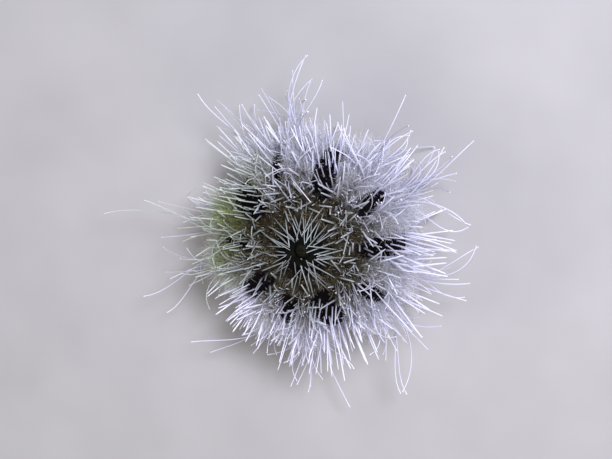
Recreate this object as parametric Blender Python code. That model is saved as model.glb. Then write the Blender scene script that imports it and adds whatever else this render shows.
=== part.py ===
"""A collector sea urchin, life size, at rest on its mouth side with its tube feet stretched out.

Metres, +Z up. The animal's own axis is upright and the floor is z = 0. Azimuths run from +X
towards +Y. At the end the whole animal is shifted so that its bounding box is centred on the
origin. The round shell, or test, is made of ten solid sectors round a core: five ambulacra,
which carry tube feet and spines, and five wider interambulacra, which carry spines alone.
"""

import math
import random

import bmesh
import bpy
import numpy as np
from mathutils import Vector

# The test
TEST_RADIUS = 0.033
TEST_TOP = 0.045
TEST_BOTTOM = 0.007
AMBITUS_HEIGHT = 0.0235
DOME_SQUARENESS = 2.15
BASE_SQUARENESS = 2.7
PENTAGON = 0.012
GAP = 0.0003
ARC_SAMPLES = 1441

# The ten sectors
RAYS = 5
FIRST_INTERAMBULACRUM = math.radians(4)
RAY_TURN = 2 * math.pi / RAYS
INTERAMBULACRUM_SPAN = math.radians(42)
AMBULACRUM_SPAN = RAY_TURN - INTERAMBULACRUM_SPAN
FIRST_AMBULACRUM = FIRST_INTERAMBULACRUM + RAY_TURN / 2
SECTOR_ROWS = 12
INTERAMBULACRUM_COLUMNS = 4
AMBULACRUM_COLUMNS = 3

# The apical disc, the anus in it, and the mouth below
DISC_RADIUS = 0.0060
PERISTOME_RADIUS = 0.0090
CORE_SPLIT_HEIGHT = 0.026
CORE_SIDES = 20
PERIPROCT_RADIUS = 0.0027
PERIPROCT_DEPTH = 0.0012
PERIPROCT_SIDES = 14
PLATE_RELIEF = 0.00025
MOUTH_RADIUS = 0.0033
MOUTH_DEPTH = 0.0060
LIP_RISE = 0.0007
MEMBRANE_SAG = 0.0010
TOOTH_RADIUS = 0.0026
TOOTH_LENGTH = 0.0058
TOOTH_SHOWS = 0.0016

# Spines
SPINE_ROOT_RADIUS = 0.00050
SPINE_TIP_RADIUS = 0.00027
SPINE_SIDES = 4
SPINE_SINK = 0.0011
SPINE_ROW_STEP = 0.0040
SPINE_COLUMN_STEP = 0.0029
FIRST_SPINE_ARC = 0.0075
LAST_SPINE_ARC = 0.0740
SECTOR_MARGIN = 0.0009
SPINE_SWAY = math.radians(9)
STAR_RADIUS = 0.0042
FLOOR_CLEARANCE = 0.0006
# Along the shell from the apex: how long the spines are, how far they lean to the apex, and half
# the width of the bare dark band down the middle of an interambulacrum
SPINE_LENGTHS = ((0.007, 0.0080), (0.014, 0.0120), (0.026, 0.0120), (0.042, 0.0155), (0.050, 0.0150), (0.062, 0.0100))
SPINE_LEANS = ((0.007, 30), (0.012, 58), (0.015, 42), (0.020, 6), (0.040, 2), (0.054, 8), (0.064, 16))
BARE_BAND = ((0.012, 0.0004), (0.020, 0.0034), (0.034, 0.0040), (0.044, 0.0016), (0.060, 0.0004))
AMBULACRUM_BAND_SHARE = 0.55

# Tube feet
FOOT_RADIUS = 0.00036
SUCKER_RADIUS = 0.00075
SUCKER_THICKNESS = 0.00035
FOOT_SIDES = 4
FOOT_SINK = 0.0010
FOOT_COLUMN_SHARE = 0.66
FOOT_ARCS = (0.016, 0.0225, 0.029, 0.035, 0.041, 0.047, 0.053)
FOOT_LENGTHS = ((0.014, 0.0135), (0.030, 0.0190), (0.044, 0.0270), (0.054, 0.0220))
FOOT_SWAY = math.radians(13)
FOOT_BEND_SHARE = 0.16
FOOT_SEGMENTS = 3
LONG_FOOT_SEGMENTS = 6
LONG_FOOT_ARCS = (0.038, 0.045, 0.041, 0.049)
# The longest feet: the azimuth in degrees, distance from the axis and height of each sucker
LONG_FEET = (
    (176, 0.080, 0.026),
    (168, 0.062, 0.034),
    (202, 0.073, 0.020),
    (210, 0.070, 0.014),
    (222, 0.063, 0.024),
    (231, 0.067, 0.010),
    (264, 0.062, 0.018),
    (279, 0.069, 0.012),
    (299, 0.067, 0.020),
    (304, 0.062, 0.028),
    (340, 0.059, 0.018),
    (1, 0.058, 0.026),
    (33, 0.066, 0.030),
    (58, 0.062, 0.034),
    (93, 0.064, 0.030),
    (101, 0.057, 0.020),
    (131, 0.066, 0.026),
)
FLOOR_FOOT_ARCS = (0.0585, 0.0655)
FLOOR_FOOT_REACH = 0.0075
FLOOR_FOOT_DROP = 0.0030

TRIES = 24
SEED = 5

# Colour, roughness
SPINE_FINISH = ((0.78, 0.78, 0.82), 0.45)
DISC_FINISH = ((0.07, 0.07, 0.05), 0.6)
PERIPROCT_FINISH = ((0.06, 0.08, 0.03), 0.5)
MEMBRANE_FINISH = ((0.20, 0.13, 0.09), 0.55)
TOOTH_FINISH = ((0.85, 0.83, 0.76), 0.3)


def outline(angle):
    """Radius and height of the shell's surface; angle is 0 at the apex and pi at the mouth."""
    upper = angle <= math.pi / 2
    power = 2 / (DOME_SQUARENESS if upper else BASE_SQUARENESS)
    rise = TEST_TOP - AMBITUS_HEIGHT if upper else AMBITUS_HEIGHT - TEST_BOTTOM
    height = math.copysign(abs(math.cos(angle)) ** power, math.cos(angle)) * rise
    return TEST_RADIUS * abs(math.sin(angle)) ** power, AMBITUS_HEIGHT + height


ANGLES = np.linspace(0, math.pi, ARC_SAMPLES)
OUTLINE = np.array([outline(angle) for angle in ANGLES])
ARCS = np.concatenate([[0], np.cumsum(np.hypot(*np.diff(OUTLINE, axis=0).T))])


def along(table, arc):
    """The value at this arc from a short table of pairs."""
    places, values = zip(*table)
    return float(np.interp(arc, places, values))


def arc_at_radius(radius, below=False):
    """The arc from the apex to where the shell has this radius, on its upper or its lower half."""
    half = ARCS > ARCS[-1] / 2 if below else ARCS <= ARCS[-1] / 2
    radii, arcs = OUTLINE[half, 0], ARCS[half]
    return float(np.interp(radius, radii[::-1], arcs[::-1]) if below else np.interp(radius, radii, arcs))


def on_test(arc, azimuth):
    """The point of the shell's surface that far from the apex."""
    angle = float(np.interp(arc, ARCS, ANGLES))
    radius, height = outline(angle)
    radius *= 1 + PENTAGON * math.cos(RAYS * (azimuth - FIRST_AMBULACRUM)) * math.sin(angle) ** 2
    return Vector((radius * math.cos(azimuth), radius * math.sin(azimuth), height))


def frame_at(arc, azimuth):
    """Three directions at that point: out of the shell, along it towards the apex, and sideways."""
    step = 0.0004
    low, high = (np.array(outline(float(np.interp(arc + s, ARCS, ANGLES)))) for s in (-step, step))
    run, climb = (high - low) / np.linalg.norm(high - low)
    radial = Vector((math.cos(azimuth), math.sin(azimuth), 0))
    upright = Vector((0, 0, 1))
    outward = radial * -climb + upright * run
    to_apex = radial * -run + upright * -climb
    return outward, to_apex, Vector((-math.sin(azimuth), math.cos(azimuth), 0))


def material(name, finish):
    """One plain finish."""
    made = bpy.data.materials.new(name)
    made.use_nodes = True
    shader = made.node_tree.nodes["Principled BSDF"]
    shader.inputs["Base Color"].default_value = (*finish[0], 1)
    shader.inputs["Roughness"].default_value = finish[1]
    made.diffuse_color = (*finish[0], 1)
    return made


def mesh_object(name, points, faces, collection=None):
    """A mesh object with its faces pointing outwards."""
    mesh = bpy.data.meshes.new(name)
    mesh.from_pydata([tuple(p) for p in points], [], faces)
    body = bmesh.new()
    body.from_mesh(mesh)
    bmesh.ops.recalc_face_normals(body, faces=body.faces)
    body.to_mesh(mesh)
    body.free()
    made = bpy.data.objects.new(name, mesh)
    (collection or bpy.context.scene.collection).objects.link(made)
    return made


def revolved(name, outline_points, sides, lift=None):
    """A solid turned about the axis from (radius, height) points, the first and last on the axis."""
    points, faces = [Vector((0, 0, outline_points[0][1]))], []
    rings = outline_points[1:-1]
    for radius, height in rings:
        for side in range(sides):
            azimuth = side * 2 * math.pi / sides
            raised = height + (lift(radius, height, azimuth) if lift else 0)
            points.append(Vector((radius * math.cos(azimuth), radius * math.sin(azimuth), raised)))
    points.append(Vector((0, 0, outline_points[-1][1])))
    last = len(points) - 1
    for side in range(sides):
        following = (side + 1) % sides
        faces.append((0, 1 + side, 1 + following))
        for ring in range(len(rings) - 1):
            here = 1 + ring * sides
            faces.append((here + side, here + sides + side, here + sides + following, here + following))
        foot = last - sides
        faces.append((last, foot + following, foot + side))
    return mesh_object(name, points, faces)


class Growth:
    """One spine or tube foot: its centre line, its radii and the sector that it grows from."""

    def __init__(self, node, path, radii, sides, on_floor):
        self.node = node
        self.path = path
        self.radii = radii
        self.sides = sides
        self.on_floor = on_floor

    def rings(self):
        """The corners of each cross-section, with the last cut level where it stands on the floor."""
        tangent = (self.path[1] - self.path[0]).normalized()
        side = tangent.orthogonal().normalized()
        rings = []
        for index, (point, radius) in enumerate(zip(self.path, self.radii)):
            ahead = self.path[min(index + 1, len(self.path) - 1)]
            behind = self.path[max(index - 1, 0)]
            turned = (ahead - behind).normalized()
            side = tangent.rotation_difference(turned) @ side
            tangent = turned
            across = tangent.cross(side)
            turns = [2 * math.pi * k / self.sides for k in range(self.sides)]
            rings.append([point + (side * math.cos(t) + across * math.sin(t)) * radius for t in turns])
        if self.on_floor:
            rings[-1] = [corner - tangent * (corner.z / tangent.z) for corner in rings[-1]]
        return rings

    def build(self, collection):
        """The closed mesh of this spine or foot."""
        points = [corner for ring in self.rings() for corner in ring]
        count, last = self.sides, len(points) - self.sides
        faces = [tuple(range(count)), tuple(range(last, last + count))]
        for start in range(0, last, count):
            for side in range(count):
                following = (side + 1) % count
                near, far = start + side, start + following
                faces.append((near, far, far + count, near + count))
        return mesh_object(self.node + "_growth", points, faces, collection)


class Thicket:
    """All spines and feet so far, so that each new one can keep clear of them."""

    def __init__(self):
        self.starts, self.ends, self.radii = np.empty((0, 3)), np.empty((0, 3)), np.empty(0)
        self.growths = []

    def clear(self, growth):
        """Whether a new one keeps a gap to each earlier one all the way along."""
        for start, end, radius in self.segments(growth):
            if len(self.radii) and (gaps(start, end, self.starts, self.ends) < self.radii + radius + GAP).any():
                return False
        return True

    @staticmethod
    def segments(growth):
        """Each straight length of a growth with its larger radius."""
        lengths = zip(growth.path, growth.path[1:], growth.radii, growth.radii[1:])
        return [(np.array(a), np.array(b), max(r, s)) for a, b, r, s in lengths]

    def add(self, growth):
        """Keeps a growth."""
        starts, ends, radii = zip(*self.segments(growth))
        self.starts = np.vstack([self.starts, *starts])
        self.ends = np.vstack([self.ends, *ends])
        self.radii = np.concatenate([self.radii, radii])
        self.growths.append(growth)

    def first_clear(self, drawn):
        """Keeps the first growth that has room among those drawn, and says whether one had."""
        for growth in drawn:
            if growth and self.clear(growth):
                self.add(growth)
                return True
        return False


def gaps(start, end, starts, ends):
    """The distance from one line segment to each of many."""
    run, runs, apart = end - start, ends - starts, start - starts
    length, lengths = run @ run, (runs * runs).sum(1)
    across, near, far = runs @ run, apart @ run, (runs * apart).sum(1)
    spread = np.maximum(length * lengths - across * across, 1e-18)
    share = np.clip((across * far - near * lengths) / spread, 0, 1)
    shares = np.clip((across * share + far) / lengths, 0, 1)
    share = np.clip((across * shares - near) / length, 0, 1)
    return np.linalg.norm(apart + share[:, None] * run - shares[:, None] * runs, axis=1)


def swayed(direction, sway, draw):
    """The direction, turned a little at random."""
    side = direction.orthogonal().normalized()
    across = direction.cross(side)
    turn, tilt = draw.uniform(0, 2 * math.pi), abs(draw.gauss(0, sway))
    return direction * math.cos(tilt) + (side * math.cos(turn) + across * math.sin(turn)) * math.sin(tilt)


def spine(node, arc, azimuth, draw):
    """A straight tapered spine. Those that would pass the floor stand on it with a flat tip."""
    root = on_test(arc, azimuth)
    outward, to_apex, _ = frame_at(arc, azimuth)
    lean = math.radians(along(SPINE_LEANS, arc))
    direction = swayed(outward * math.cos(lean) + to_apex * math.sin(lean), SPINE_SWAY, draw)
    length = along(SPINE_LENGTHS, arc) * draw.uniform(0.82, 1.12)
    level = Vector((root.x, root.y, 0))
    inward = -direction.dot(level.normalized())
    if inward > 0.3:
        length = min(length, (level.length - STAR_RADIUS) / inward)
    tip = root + direction * length
    on_floor = tip.z < FLOOR_CLEARANCE
    if on_floor:
        tip = root - direction * (root.z / direction.z)
    path = [root - outward * SPINE_SINK, tip]
    return Growth(node, path, [SPINE_ROOT_RADIUS, SPINE_TIP_RADIUS], SPINE_SIDES, on_floor)


def bezier(corners, share):
    """A point of a cubic curve."""
    rest = 1 - share
    weights = (rest**3, 3 * rest**2 * share, 3 * rest * share**2, share**3)
    return sum((corner * weight for corner, weight in zip(corners, weights)), Vector())


def foot(node, root, outward, corners, segments, on_floor=False):
    """A tube foot along a cubic curve, with a sucker on its end."""
    path = [root - outward * FOOT_SINK]
    path += [bezier((root, *corners), share) for share in np.linspace(0, 1, segments + 1)[1:]]
    end, before = path[-1], bezier((root, *corners), 0.97)
    ahead = Vector((0, 0, -1)) if on_floor else (end - before).normalized()
    path[-1] = end - ahead * (SUCKER_THICKNESS + FOOT_RADIUS)
    path += [end - ahead * SUCKER_THICKNESS, end]
    radii = [FOOT_RADIUS] * (segments + 1) + [SUCKER_RADIUS] * 2
    return Growth(node, path, radii, FOOT_SIDES, on_floor)


def free_foot(node, arc, azimuth, draw):
    """A foot that waves in the water above the spines."""
    root = on_test(arc, azimuth)
    outward, _, _ = frame_at(arc, azimuth)
    length = along(FOOT_LENGTHS, arc) * draw.uniform(0.8, 1.25)
    direction = swayed(outward, FOOT_SWAY, draw)
    bend = swayed(direction, math.pi / 2, draw).cross(direction).normalized()
    bend *= length * FOOT_BEND_SHARE * draw.uniform(0.3, 1)
    corners = [root + direction * length * share for share in (1 / 3, 2 / 3, 1)]
    corners[1] += bend
    if min(corner.z for corner in corners) < FLOOR_CLEARANCE + SUCKER_RADIUS:
        return None
    return foot(node, root, outward, corners, FOOT_SEGMENTS)


def long_foot(node, arc, root_azimuth, place, draw):
    """One of the longest feet, out to the place of its sucker."""
    azimuth, reach, height = place
    turn = math.radians(azimuth)
    tip = Vector((reach * math.cos(turn), reach * math.sin(turn), height + draw.uniform(-0.004, 0.004)))
    root = on_test(arc, root_azimuth)
    outward, _, _ = frame_at(arc, root_azimuth)
    span = (tip - root).length
    side = (tip - root).cross(Vector((0, 0, 1))).normalized()
    bend = side * span * draw.uniform(-FOOT_BEND_SHARE, FOOT_BEND_SHARE)
    corners = (root + outward * span * 0.4, root.lerp(tip, 0.72) + bend, tip)
    return foot(node, root, outward, corners, LONG_FOOT_SEGMENTS)


def floor_foot(node, arc, azimuth, draw):
    """A foot that holds the floor with its sucker flat on it."""
    root = on_test(arc, azimuth)
    outward, _, sideways = frame_at(arc, azimuth)
    radial = Vector((math.cos(azimuth), math.sin(azimuth), 0))
    end = root + radial * FLOOR_FOOT_REACH * draw.uniform(0.4, 1.1)
    end += sideways * FLOOR_FOOT_REACH * draw.uniform(-0.3, 0.3)
    end.z = 0
    drop = Vector((0, 0, FLOOR_FOOT_DROP))
    corners = (root + outward * FLOOR_FOOT_DROP, end + drop, end)
    return foot(node, root, outward, corners, FOOT_SEGMENTS, on_floor=True)


class Sector:
    """One of the ten wedges of the test."""

    def __init__(self, kind, number, columns, span, centre):
        self.name = f"{kind}_{number}"
        self.has_feet = kind == "ambulacrum"
        self.columns = columns
        self.half = span / 2
        self.centre = centre

    def edge(self, radius):
        """Half the wedge's angle where it has this radius, less its half of the gap."""
        return self.half - math.asin(GAP / 2 / radius)

    def wedge(self, collection=None):
        """The solid wedge, from the shell's surface in to the core."""
        first = arc_at_radius(DISC_RADIUS + GAP)
        last = arc_at_radius(PERISTOME_RADIUS + GAP, below=True)
        points, faces = [], []
        for arc in np.linspace(first, last, SECTOR_ROWS + 1):
            radius = Vector(on_test(arc, self.centre).xy).length
            for share in np.linspace(-1, 1, self.columns + 1):
                points.append(on_test(arc, self.centre + share * self.edge(radius)))
        wide, rows = self.columns + 1, SECTOR_ROWS + 1
        for row in range(rows):
            below = (row + 1) % rows
            for column in range(self.columns):
                corner, under = row * wide + column, below * wide + column
                faces.append((corner, under, under + 1, corner + 1))
        faces.append(tuple(row * wide for row in range(rows)))
        faces.append(tuple(row * wide + self.columns for row in reversed(range(rows))))
        return mesh_object(self.name, points, faces, collection)

    def bare_half_width(self, arc):
        """Half the width of the bare band down the middle."""
        return along(BARE_BAND, arc) * (AMBULACRUM_BAND_SHARE if self.has_feet else 1)

    def spine_places(self):
        """The arc and azimuth of each spine's root: rows of columns either side of the bare band."""
        rows = round((LAST_SPINE_ARC - FIRST_SPINE_ARC) / SPINE_ROW_STEP)
        for row in range(rows + 1):
            arc = FIRST_SPINE_ARC + row * (LAST_SPINE_ARC - FIRST_SPINE_ARC) / rows
            radius = Vector(on_test(arc, self.centre).xy).length
            inner, outer = self.bare_half_width(arc), self.half * radius - SECTOR_MARGIN
            columns = max(1, round((outer - inner) / SPINE_COLUMN_STEP))
            for column in range(columns):
                shift = (0.5 if row % 2 else 0.15) / columns
                offset = inner + (outer - inner) * (1 - column / columns - shift)
                for side in (-1, 1):
                    yield arc, self.centre + side * offset / radius

    def foot_azimuth(self, arc, side):
        """The azimuth of the pores that tube feet leave by, on one side."""
        return self.centre + side * self.half * FOOT_COLUMN_SHARE


def sectors():
    """The ten sectors, in pairs round the axis."""
    made = []
    for ray in range(RAYS):
        turn = ray * RAY_TURN
        for kind, columns, span, start in (
            ("interambulacrum", INTERAMBULACRUM_COLUMNS, INTERAMBULACRUM_SPAN, FIRST_INTERAMBULACRUM),
            ("ambulacrum", AMBULACRUM_COLUMNS, AMBULACRUM_SPAN, FIRST_AMBULACRUM),
        ):
            made.append(Sector(kind, ray + 1, columns, span, start + turn))
    return made


def turn_between(a, b):
    """The signed turn from azimuth b to azimuth a, within half a circle."""
    return (a - b + math.pi) % (2 * math.pi) - math.pi


def grow_long_feet(thicket, ambulacra, draw):
    """The longest feet, each from the side of the nearest ambulacrum that faces its sucker."""
    for index, place in enumerate(LONG_FEET):
        towards = math.radians(place[0])
        sector = min(ambulacra, key=lambda s: abs(turn_between(towards, s.centre)))
        side = math.copysign(1, turn_between(towards, sector.centre))
        drawn = []
        for attempt in range(TRIES):
            arc = LONG_FOOT_ARCS[(index + attempt) % len(LONG_FOOT_ARCS)]
            root_azimuth = sector.foot_azimuth(arc, side)
            drawn.append(long_foot(sector.name, arc, root_azimuth, place, draw))
        if not thicket.first_clear(drawn):
            print("no room for the long foot at", place[0])


def grow_feet(thicket, ambulacra, draw):
    """Feet up both sides of each ambulacrum, and those that hold the floor."""
    for sector in ambulacra:
        for side in (-1, 1):
            for arcs, grow in ((FLOOR_FOOT_ARCS, floor_foot), (FOOT_ARCS, free_foot)):
                for arc in arcs:
                    place = arc + draw.uniform(-0.0010, 0.0010)
                    azimuth = sector.foot_azimuth(place, side)
                    thicket.first_clear(grow(sector.name, place, azimuth, draw) for _ in range(TRIES))


def grow_spines(thicket, made, draw):
    """Spines on every sector, wherever the feet and the earlier spines leave room."""
    for sector in made:
        for arc, azimuth in sector.spine_places():
            thicket.first_clear(spine(sector.name, arc, azimuth, draw) for _ in range(TRIES))


def keep_largest_surface(mesh):
    """Deletes all but the largest closed surface."""
    body = bmesh.new()
    body.from_mesh(mesh)
    left, surfaces = set(body.verts), []
    while left:
        surface, edge = set(), [left.pop()]
        while edge:
            point = edge.pop()
            surface.add(point)
            near = {link.other_vert(point) for link in point.link_edges} & left
            left -= near
            edge.extend(near)
        surfaces.append(surface)
    largest = max(surfaces, key=len)
    bmesh.ops.delete(body, geom=[v for s in surfaces if s is not largest for v in s], context="VERTS")
    body.to_mesh(mesh)
    body.free()


def fuse(body, growths):
    """Joins the spines and feet to the piece that they grow from."""
    pieces = bpy.data.collections.new(body.name + "_growths")
    bpy.context.scene.collection.children.link(pieces)
    for growth in growths:
        growth.build(pieces)
    union = body.modifiers.new("union", "BOOLEAN")
    union.operation = "UNION"
    union.operand_type = "COLLECTION"
    union.collection = pieces
    union.solver = "EXACT"
    bpy.context.view_layer.update()
    evaluated = body.evaluated_get(bpy.context.evaluated_depsgraph_get())
    joined = bpy.data.meshes.new_from_object(evaluated)
    body.modifiers.clear()
    body.data = joined
    for piece in list(pieces.objects):
        bpy.data.objects.remove(piece)
    bpy.data.collections.remove(pieces)
    keep_largest_surface(joined)


def core_radius(height):
    """The radius of the core that the sectors stand round, at this height."""
    top = outline(float(np.interp(arc_at_radius(DISC_RADIUS), ARCS, ANGLES)))
    bottom = outline(float(np.interp(arc_at_radius(PERISTOME_RADIUS, below=True), ARCS, ANGLES)))
    share = (top[1] - height) / (top[1] - bottom[1])
    return top[0] + (bottom[0] - top[0]) * share


def height_at(radius, below=False):
    """The height of the shell's surface at this distance from the axis."""
    return outline(float(np.interp(arc_at_radius(radius, below), ARCS, ANGLES)))[1]


def apical_disc():
    """The ring of ten plates at the top, with a seat for the anus, and the core's upper half."""

    def plates(radius, height, azimuth):
        on_ring = PERIPROCT_RADIUS + 2 * GAP < radius < DISC_RADIUS - GAP and height > CORE_SPLIT_HEIGHT + GAP
        return PLATE_RELIEF * (1 + math.cos(RAYS * (azimuth - FIRST_INTERAMBULACRUM))) if on_ring else 0

    rim = PERIPROCT_RADIUS + GAP
    middle = (rim + DISC_RADIUS) / 2
    seat = height_at(rim) - PERIPROCT_DEPTH
    split = CORE_SPLIT_HEIGHT + GAP / 2
    points = [
        (0, seat),
        (rim, seat),
        (rim, height_at(rim)),
        (middle, height_at(middle)),
        (DISC_RADIUS, height_at(DISC_RADIUS)),
        (core_radius(split), split),
        (0, split),
    ]
    return revolved("apical_disc", points, CORE_SIDES, plates)


def periproct():
    """The soft round field with the anus on a low cone at its middle."""
    floor = height_at(PERIPROCT_RADIUS + GAP) - PERIPROCT_DEPTH + GAP
    points = [
        (0, floor + 0.0010),
        (0.0004, floor + 0.0015),
        (0.0009, floor + 0.0012),
        (0.0017, floor + 0.0008),
        (PERIPROCT_RADIUS, floor + 0.0006),
        (PERIPROCT_RADIUS, floor),
        (0, floor),
    ]
    return revolved("periproct", points, PERIPROCT_SIDES)


def peristome():
    """The soft membrane round the mouth, with the mouth's opening, and the core's lower half."""
    split = CORE_SPLIT_HEIGHT - GAP / 2
    edge = height_at(PERISTOME_RADIUS, below=True)
    inner, middle = MOUTH_RADIUS + 0.0012, (MOUTH_RADIUS + PERISTOME_RADIUS) / 2 + 0.0006
    points = [
        (0, split),
        (core_radius(split), split),
        (PERISTOME_RADIUS, edge),
        (middle, edge + MEMBRANE_SAG),
        (inner, edge + MEMBRANE_SAG * 0.6),
        (MOUTH_RADIUS + 0.0003, edge + MEMBRANE_SAG - LIP_RISE),
        (MOUTH_RADIUS, edge + MEMBRANE_SAG),
        (MOUTH_RADIUS, edge + MOUTH_DEPTH),
        (0, edge + MOUTH_DEPTH),
    ]
    return revolved("peristome", points, CORE_SIDES)


def tooth(number):
    """One of the five teeth, a chisel that closes on the mouth's middle with the others."""
    azimuth = FIRST_INTERAMBULACRUM + number * RAY_TURN
    root = height_at(PERISTOME_RADIUS, below=True) + MOUTH_DEPTH - GAP
    tip = root - TOOTH_LENGTH
    shoulder = root - TOOTH_LENGTH + TOOTH_SHOWS * 1.5
    parting = GAP / 2 / math.sin(RAY_TURN / 2)
    away = Vector((math.cos(azimuth), math.sin(azimuth), 0)) * parting
    points = []
    for height, radius, share in ((root, TOOTH_RADIUS, 0.96), (shoulder, TOOTH_RADIUS * 0.86, 0.90), (tip, 0.0009, 0.5)):
        points.append(away + Vector((0, 0, height)))
        for turn in (-0.5, 0, 0.5):
            angle = azimuth + turn * RAY_TURN * share
            points.append(away + Vector((radius * math.cos(angle), radius * math.sin(angle), height)))
    faces = [(0, 1, 2, 3), (8, 11, 10, 9)]
    for start in (0, 4):
        for side in range(4):
            following = (side + 1) % 4
            faces.append((start + side, start + 4 + side, start + 4 + following, start + following))
    return mesh_object(f"tooth_{number + 1}", points, faces)


def centre_on_box(nodes):
    """Shifts every node so that the bounding box of all of them is centred over the origin."""
    corners = np.array([tuple(v.co) for node in nodes for v in node.data.vertices])
    middle = (corners.min(0) + corners.max(0)) / 2
    for node in nodes:
        for point in node.data.vertices:
            point.co -= Vector((middle[0], middle[1], 0))


def main():
    """Builds the whole animal."""
    for old in list(bpy.data.objects):
        bpy.data.objects.remove(old)
    draw = random.Random(SEED)
    made = sectors()
    ambulacra = [sector for sector in made if sector.has_feet]
    thicket = Thicket()
    grow_long_feet(thicket, ambulacra, draw)
    grow_feet(thicket, ambulacra, draw)
    grow_spines(thicket, made, draw)
    nodes = []
    for sector in made:
        node = sector.wedge()
        fuse(node, [growth for growth in thicket.growths if growth.node == sector.name])
        node.data.materials.clear()
        node.data.materials.append(material(sector.name, SPINE_FINISH))
        nodes.append(node)
    teeth = [tooth(number) for number in range(RAYS)]
    for node, finish in (
        (apical_disc(), DISC_FINISH),
        (periproct(), PERIPROCT_FINISH),
        (peristome(), MEMBRANE_FINISH),
        *((node, TOOTH_FINISH) for node in teeth),
    ):
        node.data.materials.append(material(node.name, finish))
        nodes.append(node)
    centre_on_box(nodes)
    print(len(thicket.growths), "spines and feet")


main()
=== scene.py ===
"""The looks of a collector sea urchin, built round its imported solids.

One skin stands for the ten sectors of the shell, with the apical disc, the anal field, the mouth
and the teeth as pieces of their own. Spines, tube feet and fine hairs are swept along guide lines
by one tree of geometry nodes, and pedicellariae and tubercles are scattered over the skin by
another. Metres, +Z up; an arc is measured along the shell from its apex.
"""

import logging
import math
import random
from collections.abc import Callable, Iterable, Iterator
from dataclasses import dataclass, field
from enum import Enum

import bmesh
import bpy
import numpy as np
from mathutils import Matrix, Vector, noise


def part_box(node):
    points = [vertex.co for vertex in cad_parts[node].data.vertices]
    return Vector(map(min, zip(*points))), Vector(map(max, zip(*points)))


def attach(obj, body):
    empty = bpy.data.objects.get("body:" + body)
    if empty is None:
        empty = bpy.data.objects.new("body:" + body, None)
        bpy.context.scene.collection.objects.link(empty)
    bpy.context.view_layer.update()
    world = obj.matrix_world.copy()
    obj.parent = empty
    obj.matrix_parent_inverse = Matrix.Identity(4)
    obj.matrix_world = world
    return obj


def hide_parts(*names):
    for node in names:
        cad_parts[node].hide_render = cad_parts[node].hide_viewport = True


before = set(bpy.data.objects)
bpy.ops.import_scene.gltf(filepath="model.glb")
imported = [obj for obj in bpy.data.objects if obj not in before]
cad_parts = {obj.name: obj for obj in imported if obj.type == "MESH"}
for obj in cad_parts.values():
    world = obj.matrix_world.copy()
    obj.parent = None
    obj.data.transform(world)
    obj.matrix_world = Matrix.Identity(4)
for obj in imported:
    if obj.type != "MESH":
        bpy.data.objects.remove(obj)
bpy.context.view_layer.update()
LOG = logging.getLogger("urchin")

MM = 0.001
RAYS = 5
ROUND = 2 * math.pi
RAY_TURN = ROUND / RAYS
BODY = "root"
UP = Vector((0, 0, 1))
# How much of the round map one filament takes up
PATCH = 3 * MM
# How deep spines and feet are rooted in the skin, in millimetres
ROOTED = 0.4
DRAW_SEED = 7
# Without a seed of its own, the vector noise would differ from run to run
NOISE_SEED = 5


def linear(code: str) -> tuple[float, float, float, float]:
    """Turns an sRGB hex colour to linear light.

    Args:
        code: The colour as six hex digits after a hash.

    Returns:
        Red, green, blue and an alpha of one.
    """
    parts = [int(code[i : i + 2], 16) / 255 for i in (1, 3, 5)]
    light = [p / 12.92 if p <= 0.04045 else ((p + 0.055) / 1.055) ** 2.4 for p in parts]
    return (light[0], light[1], light[2], 1.0)


def add_node(
    tree: bpy.types.NodeTree, kind: str, values: dict | None = None, **settings
) -> bpy.types.Node:
    """Adds one node with its settings, values and links.

    Args:
        tree: The tree that it goes into.
        kind: Blender's name for the node type.
        values: Input name or number to a plain value, or to the output that feeds it.
        **settings: Properties of the node itself.

    Returns:
        The new node.
    """
    node = tree.nodes.new(kind)
    for name, value in settings.items():
        setattr(node, name, value)
    for key, value in (values or {}).items():
        socket = node.inputs[key]
        if isinstance(value, bpy.types.NodeSocket):
            tree.links.new(value, socket)
        else:
            socket.default_value = value
    return node


def ramp(tree: bpy.types.NodeTree, factor: bpy.types.NodeSocket, stops: tuple) -> bpy.types.NodeSocket:
    """Adds a colour ramp.

    Args:
        tree: The tree that it goes into.
        factor: What drives it, from 0 to 1.
        stops: Pairs of a place and a hex colour.

    Returns:
        Its colour output.
    """
    node = add_node(tree, "ShaderNodeValToRGB", {"Fac": factor})
    while len(node.color_ramp.elements) < len(stops):
        node.color_ramp.elements.new(0.5)
    for element, (place, code) in zip(node.color_ramp.elements, stops):
        element.position = place
        element.color = linear(code)
    return node.outputs["Color"]


def blend(tree: bpy.types.NodeTree, factor, first, second, how: str = "MIX") -> bpy.types.NodeSocket:
    """Mixes two colours.

    Args:
        tree: The tree that the node goes into.
        factor: A number or a socket.
        first: A colour or a socket.
        second: A colour or a socket.
        how: Blender's name for the blend.

    Returns:
        The mixed colour.
    """
    values = {0: factor, 6: first, 7: second}
    return add_node(tree, "ShaderNodeMix", values, data_type="RGBA", blend_type=how).outputs[2]


def named(tree: bpy.types.NodeTree, name: str) -> bpy.types.NodeSocket:
    """Reads one number that the piece carries, in a shader."""
    return add_node(tree, "ShaderNodeAttribute", attribute_name=name).outputs["Fac"]


def smoothstep(low: float, high: float, value: float) -> float:
    """Goes smoothly from 0 at low to 1 at high."""
    share = min(max((value - low) / (high - low), 0.0), 1.0)
    return share * share * (3 - 2 * share)


def at(table: tuple, place: float) -> float:
    """Reads a short table of pairs, whose places are in millimetres, at a place in metres."""
    places, values = zip(*table)
    return float(np.interp(place / MM, places, values))


def wrapped(angle: float) -> float:
    """The same angle between half a turn back and half a turn on."""
    return (angle + math.pi) % ROUND - math.pi


def radial(azimuth: float) -> Vector:
    """The level direction away from the axis at this azimuth."""
    return Vector((math.cos(azimuth), math.sin(azimuth), 0))


def strewn(draw: random.Random, spread: float) -> Vector:
    """A small random push, the same to all sides."""
    return Vector([draw.gauss(0, spread) for _ in range(3)])


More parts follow.
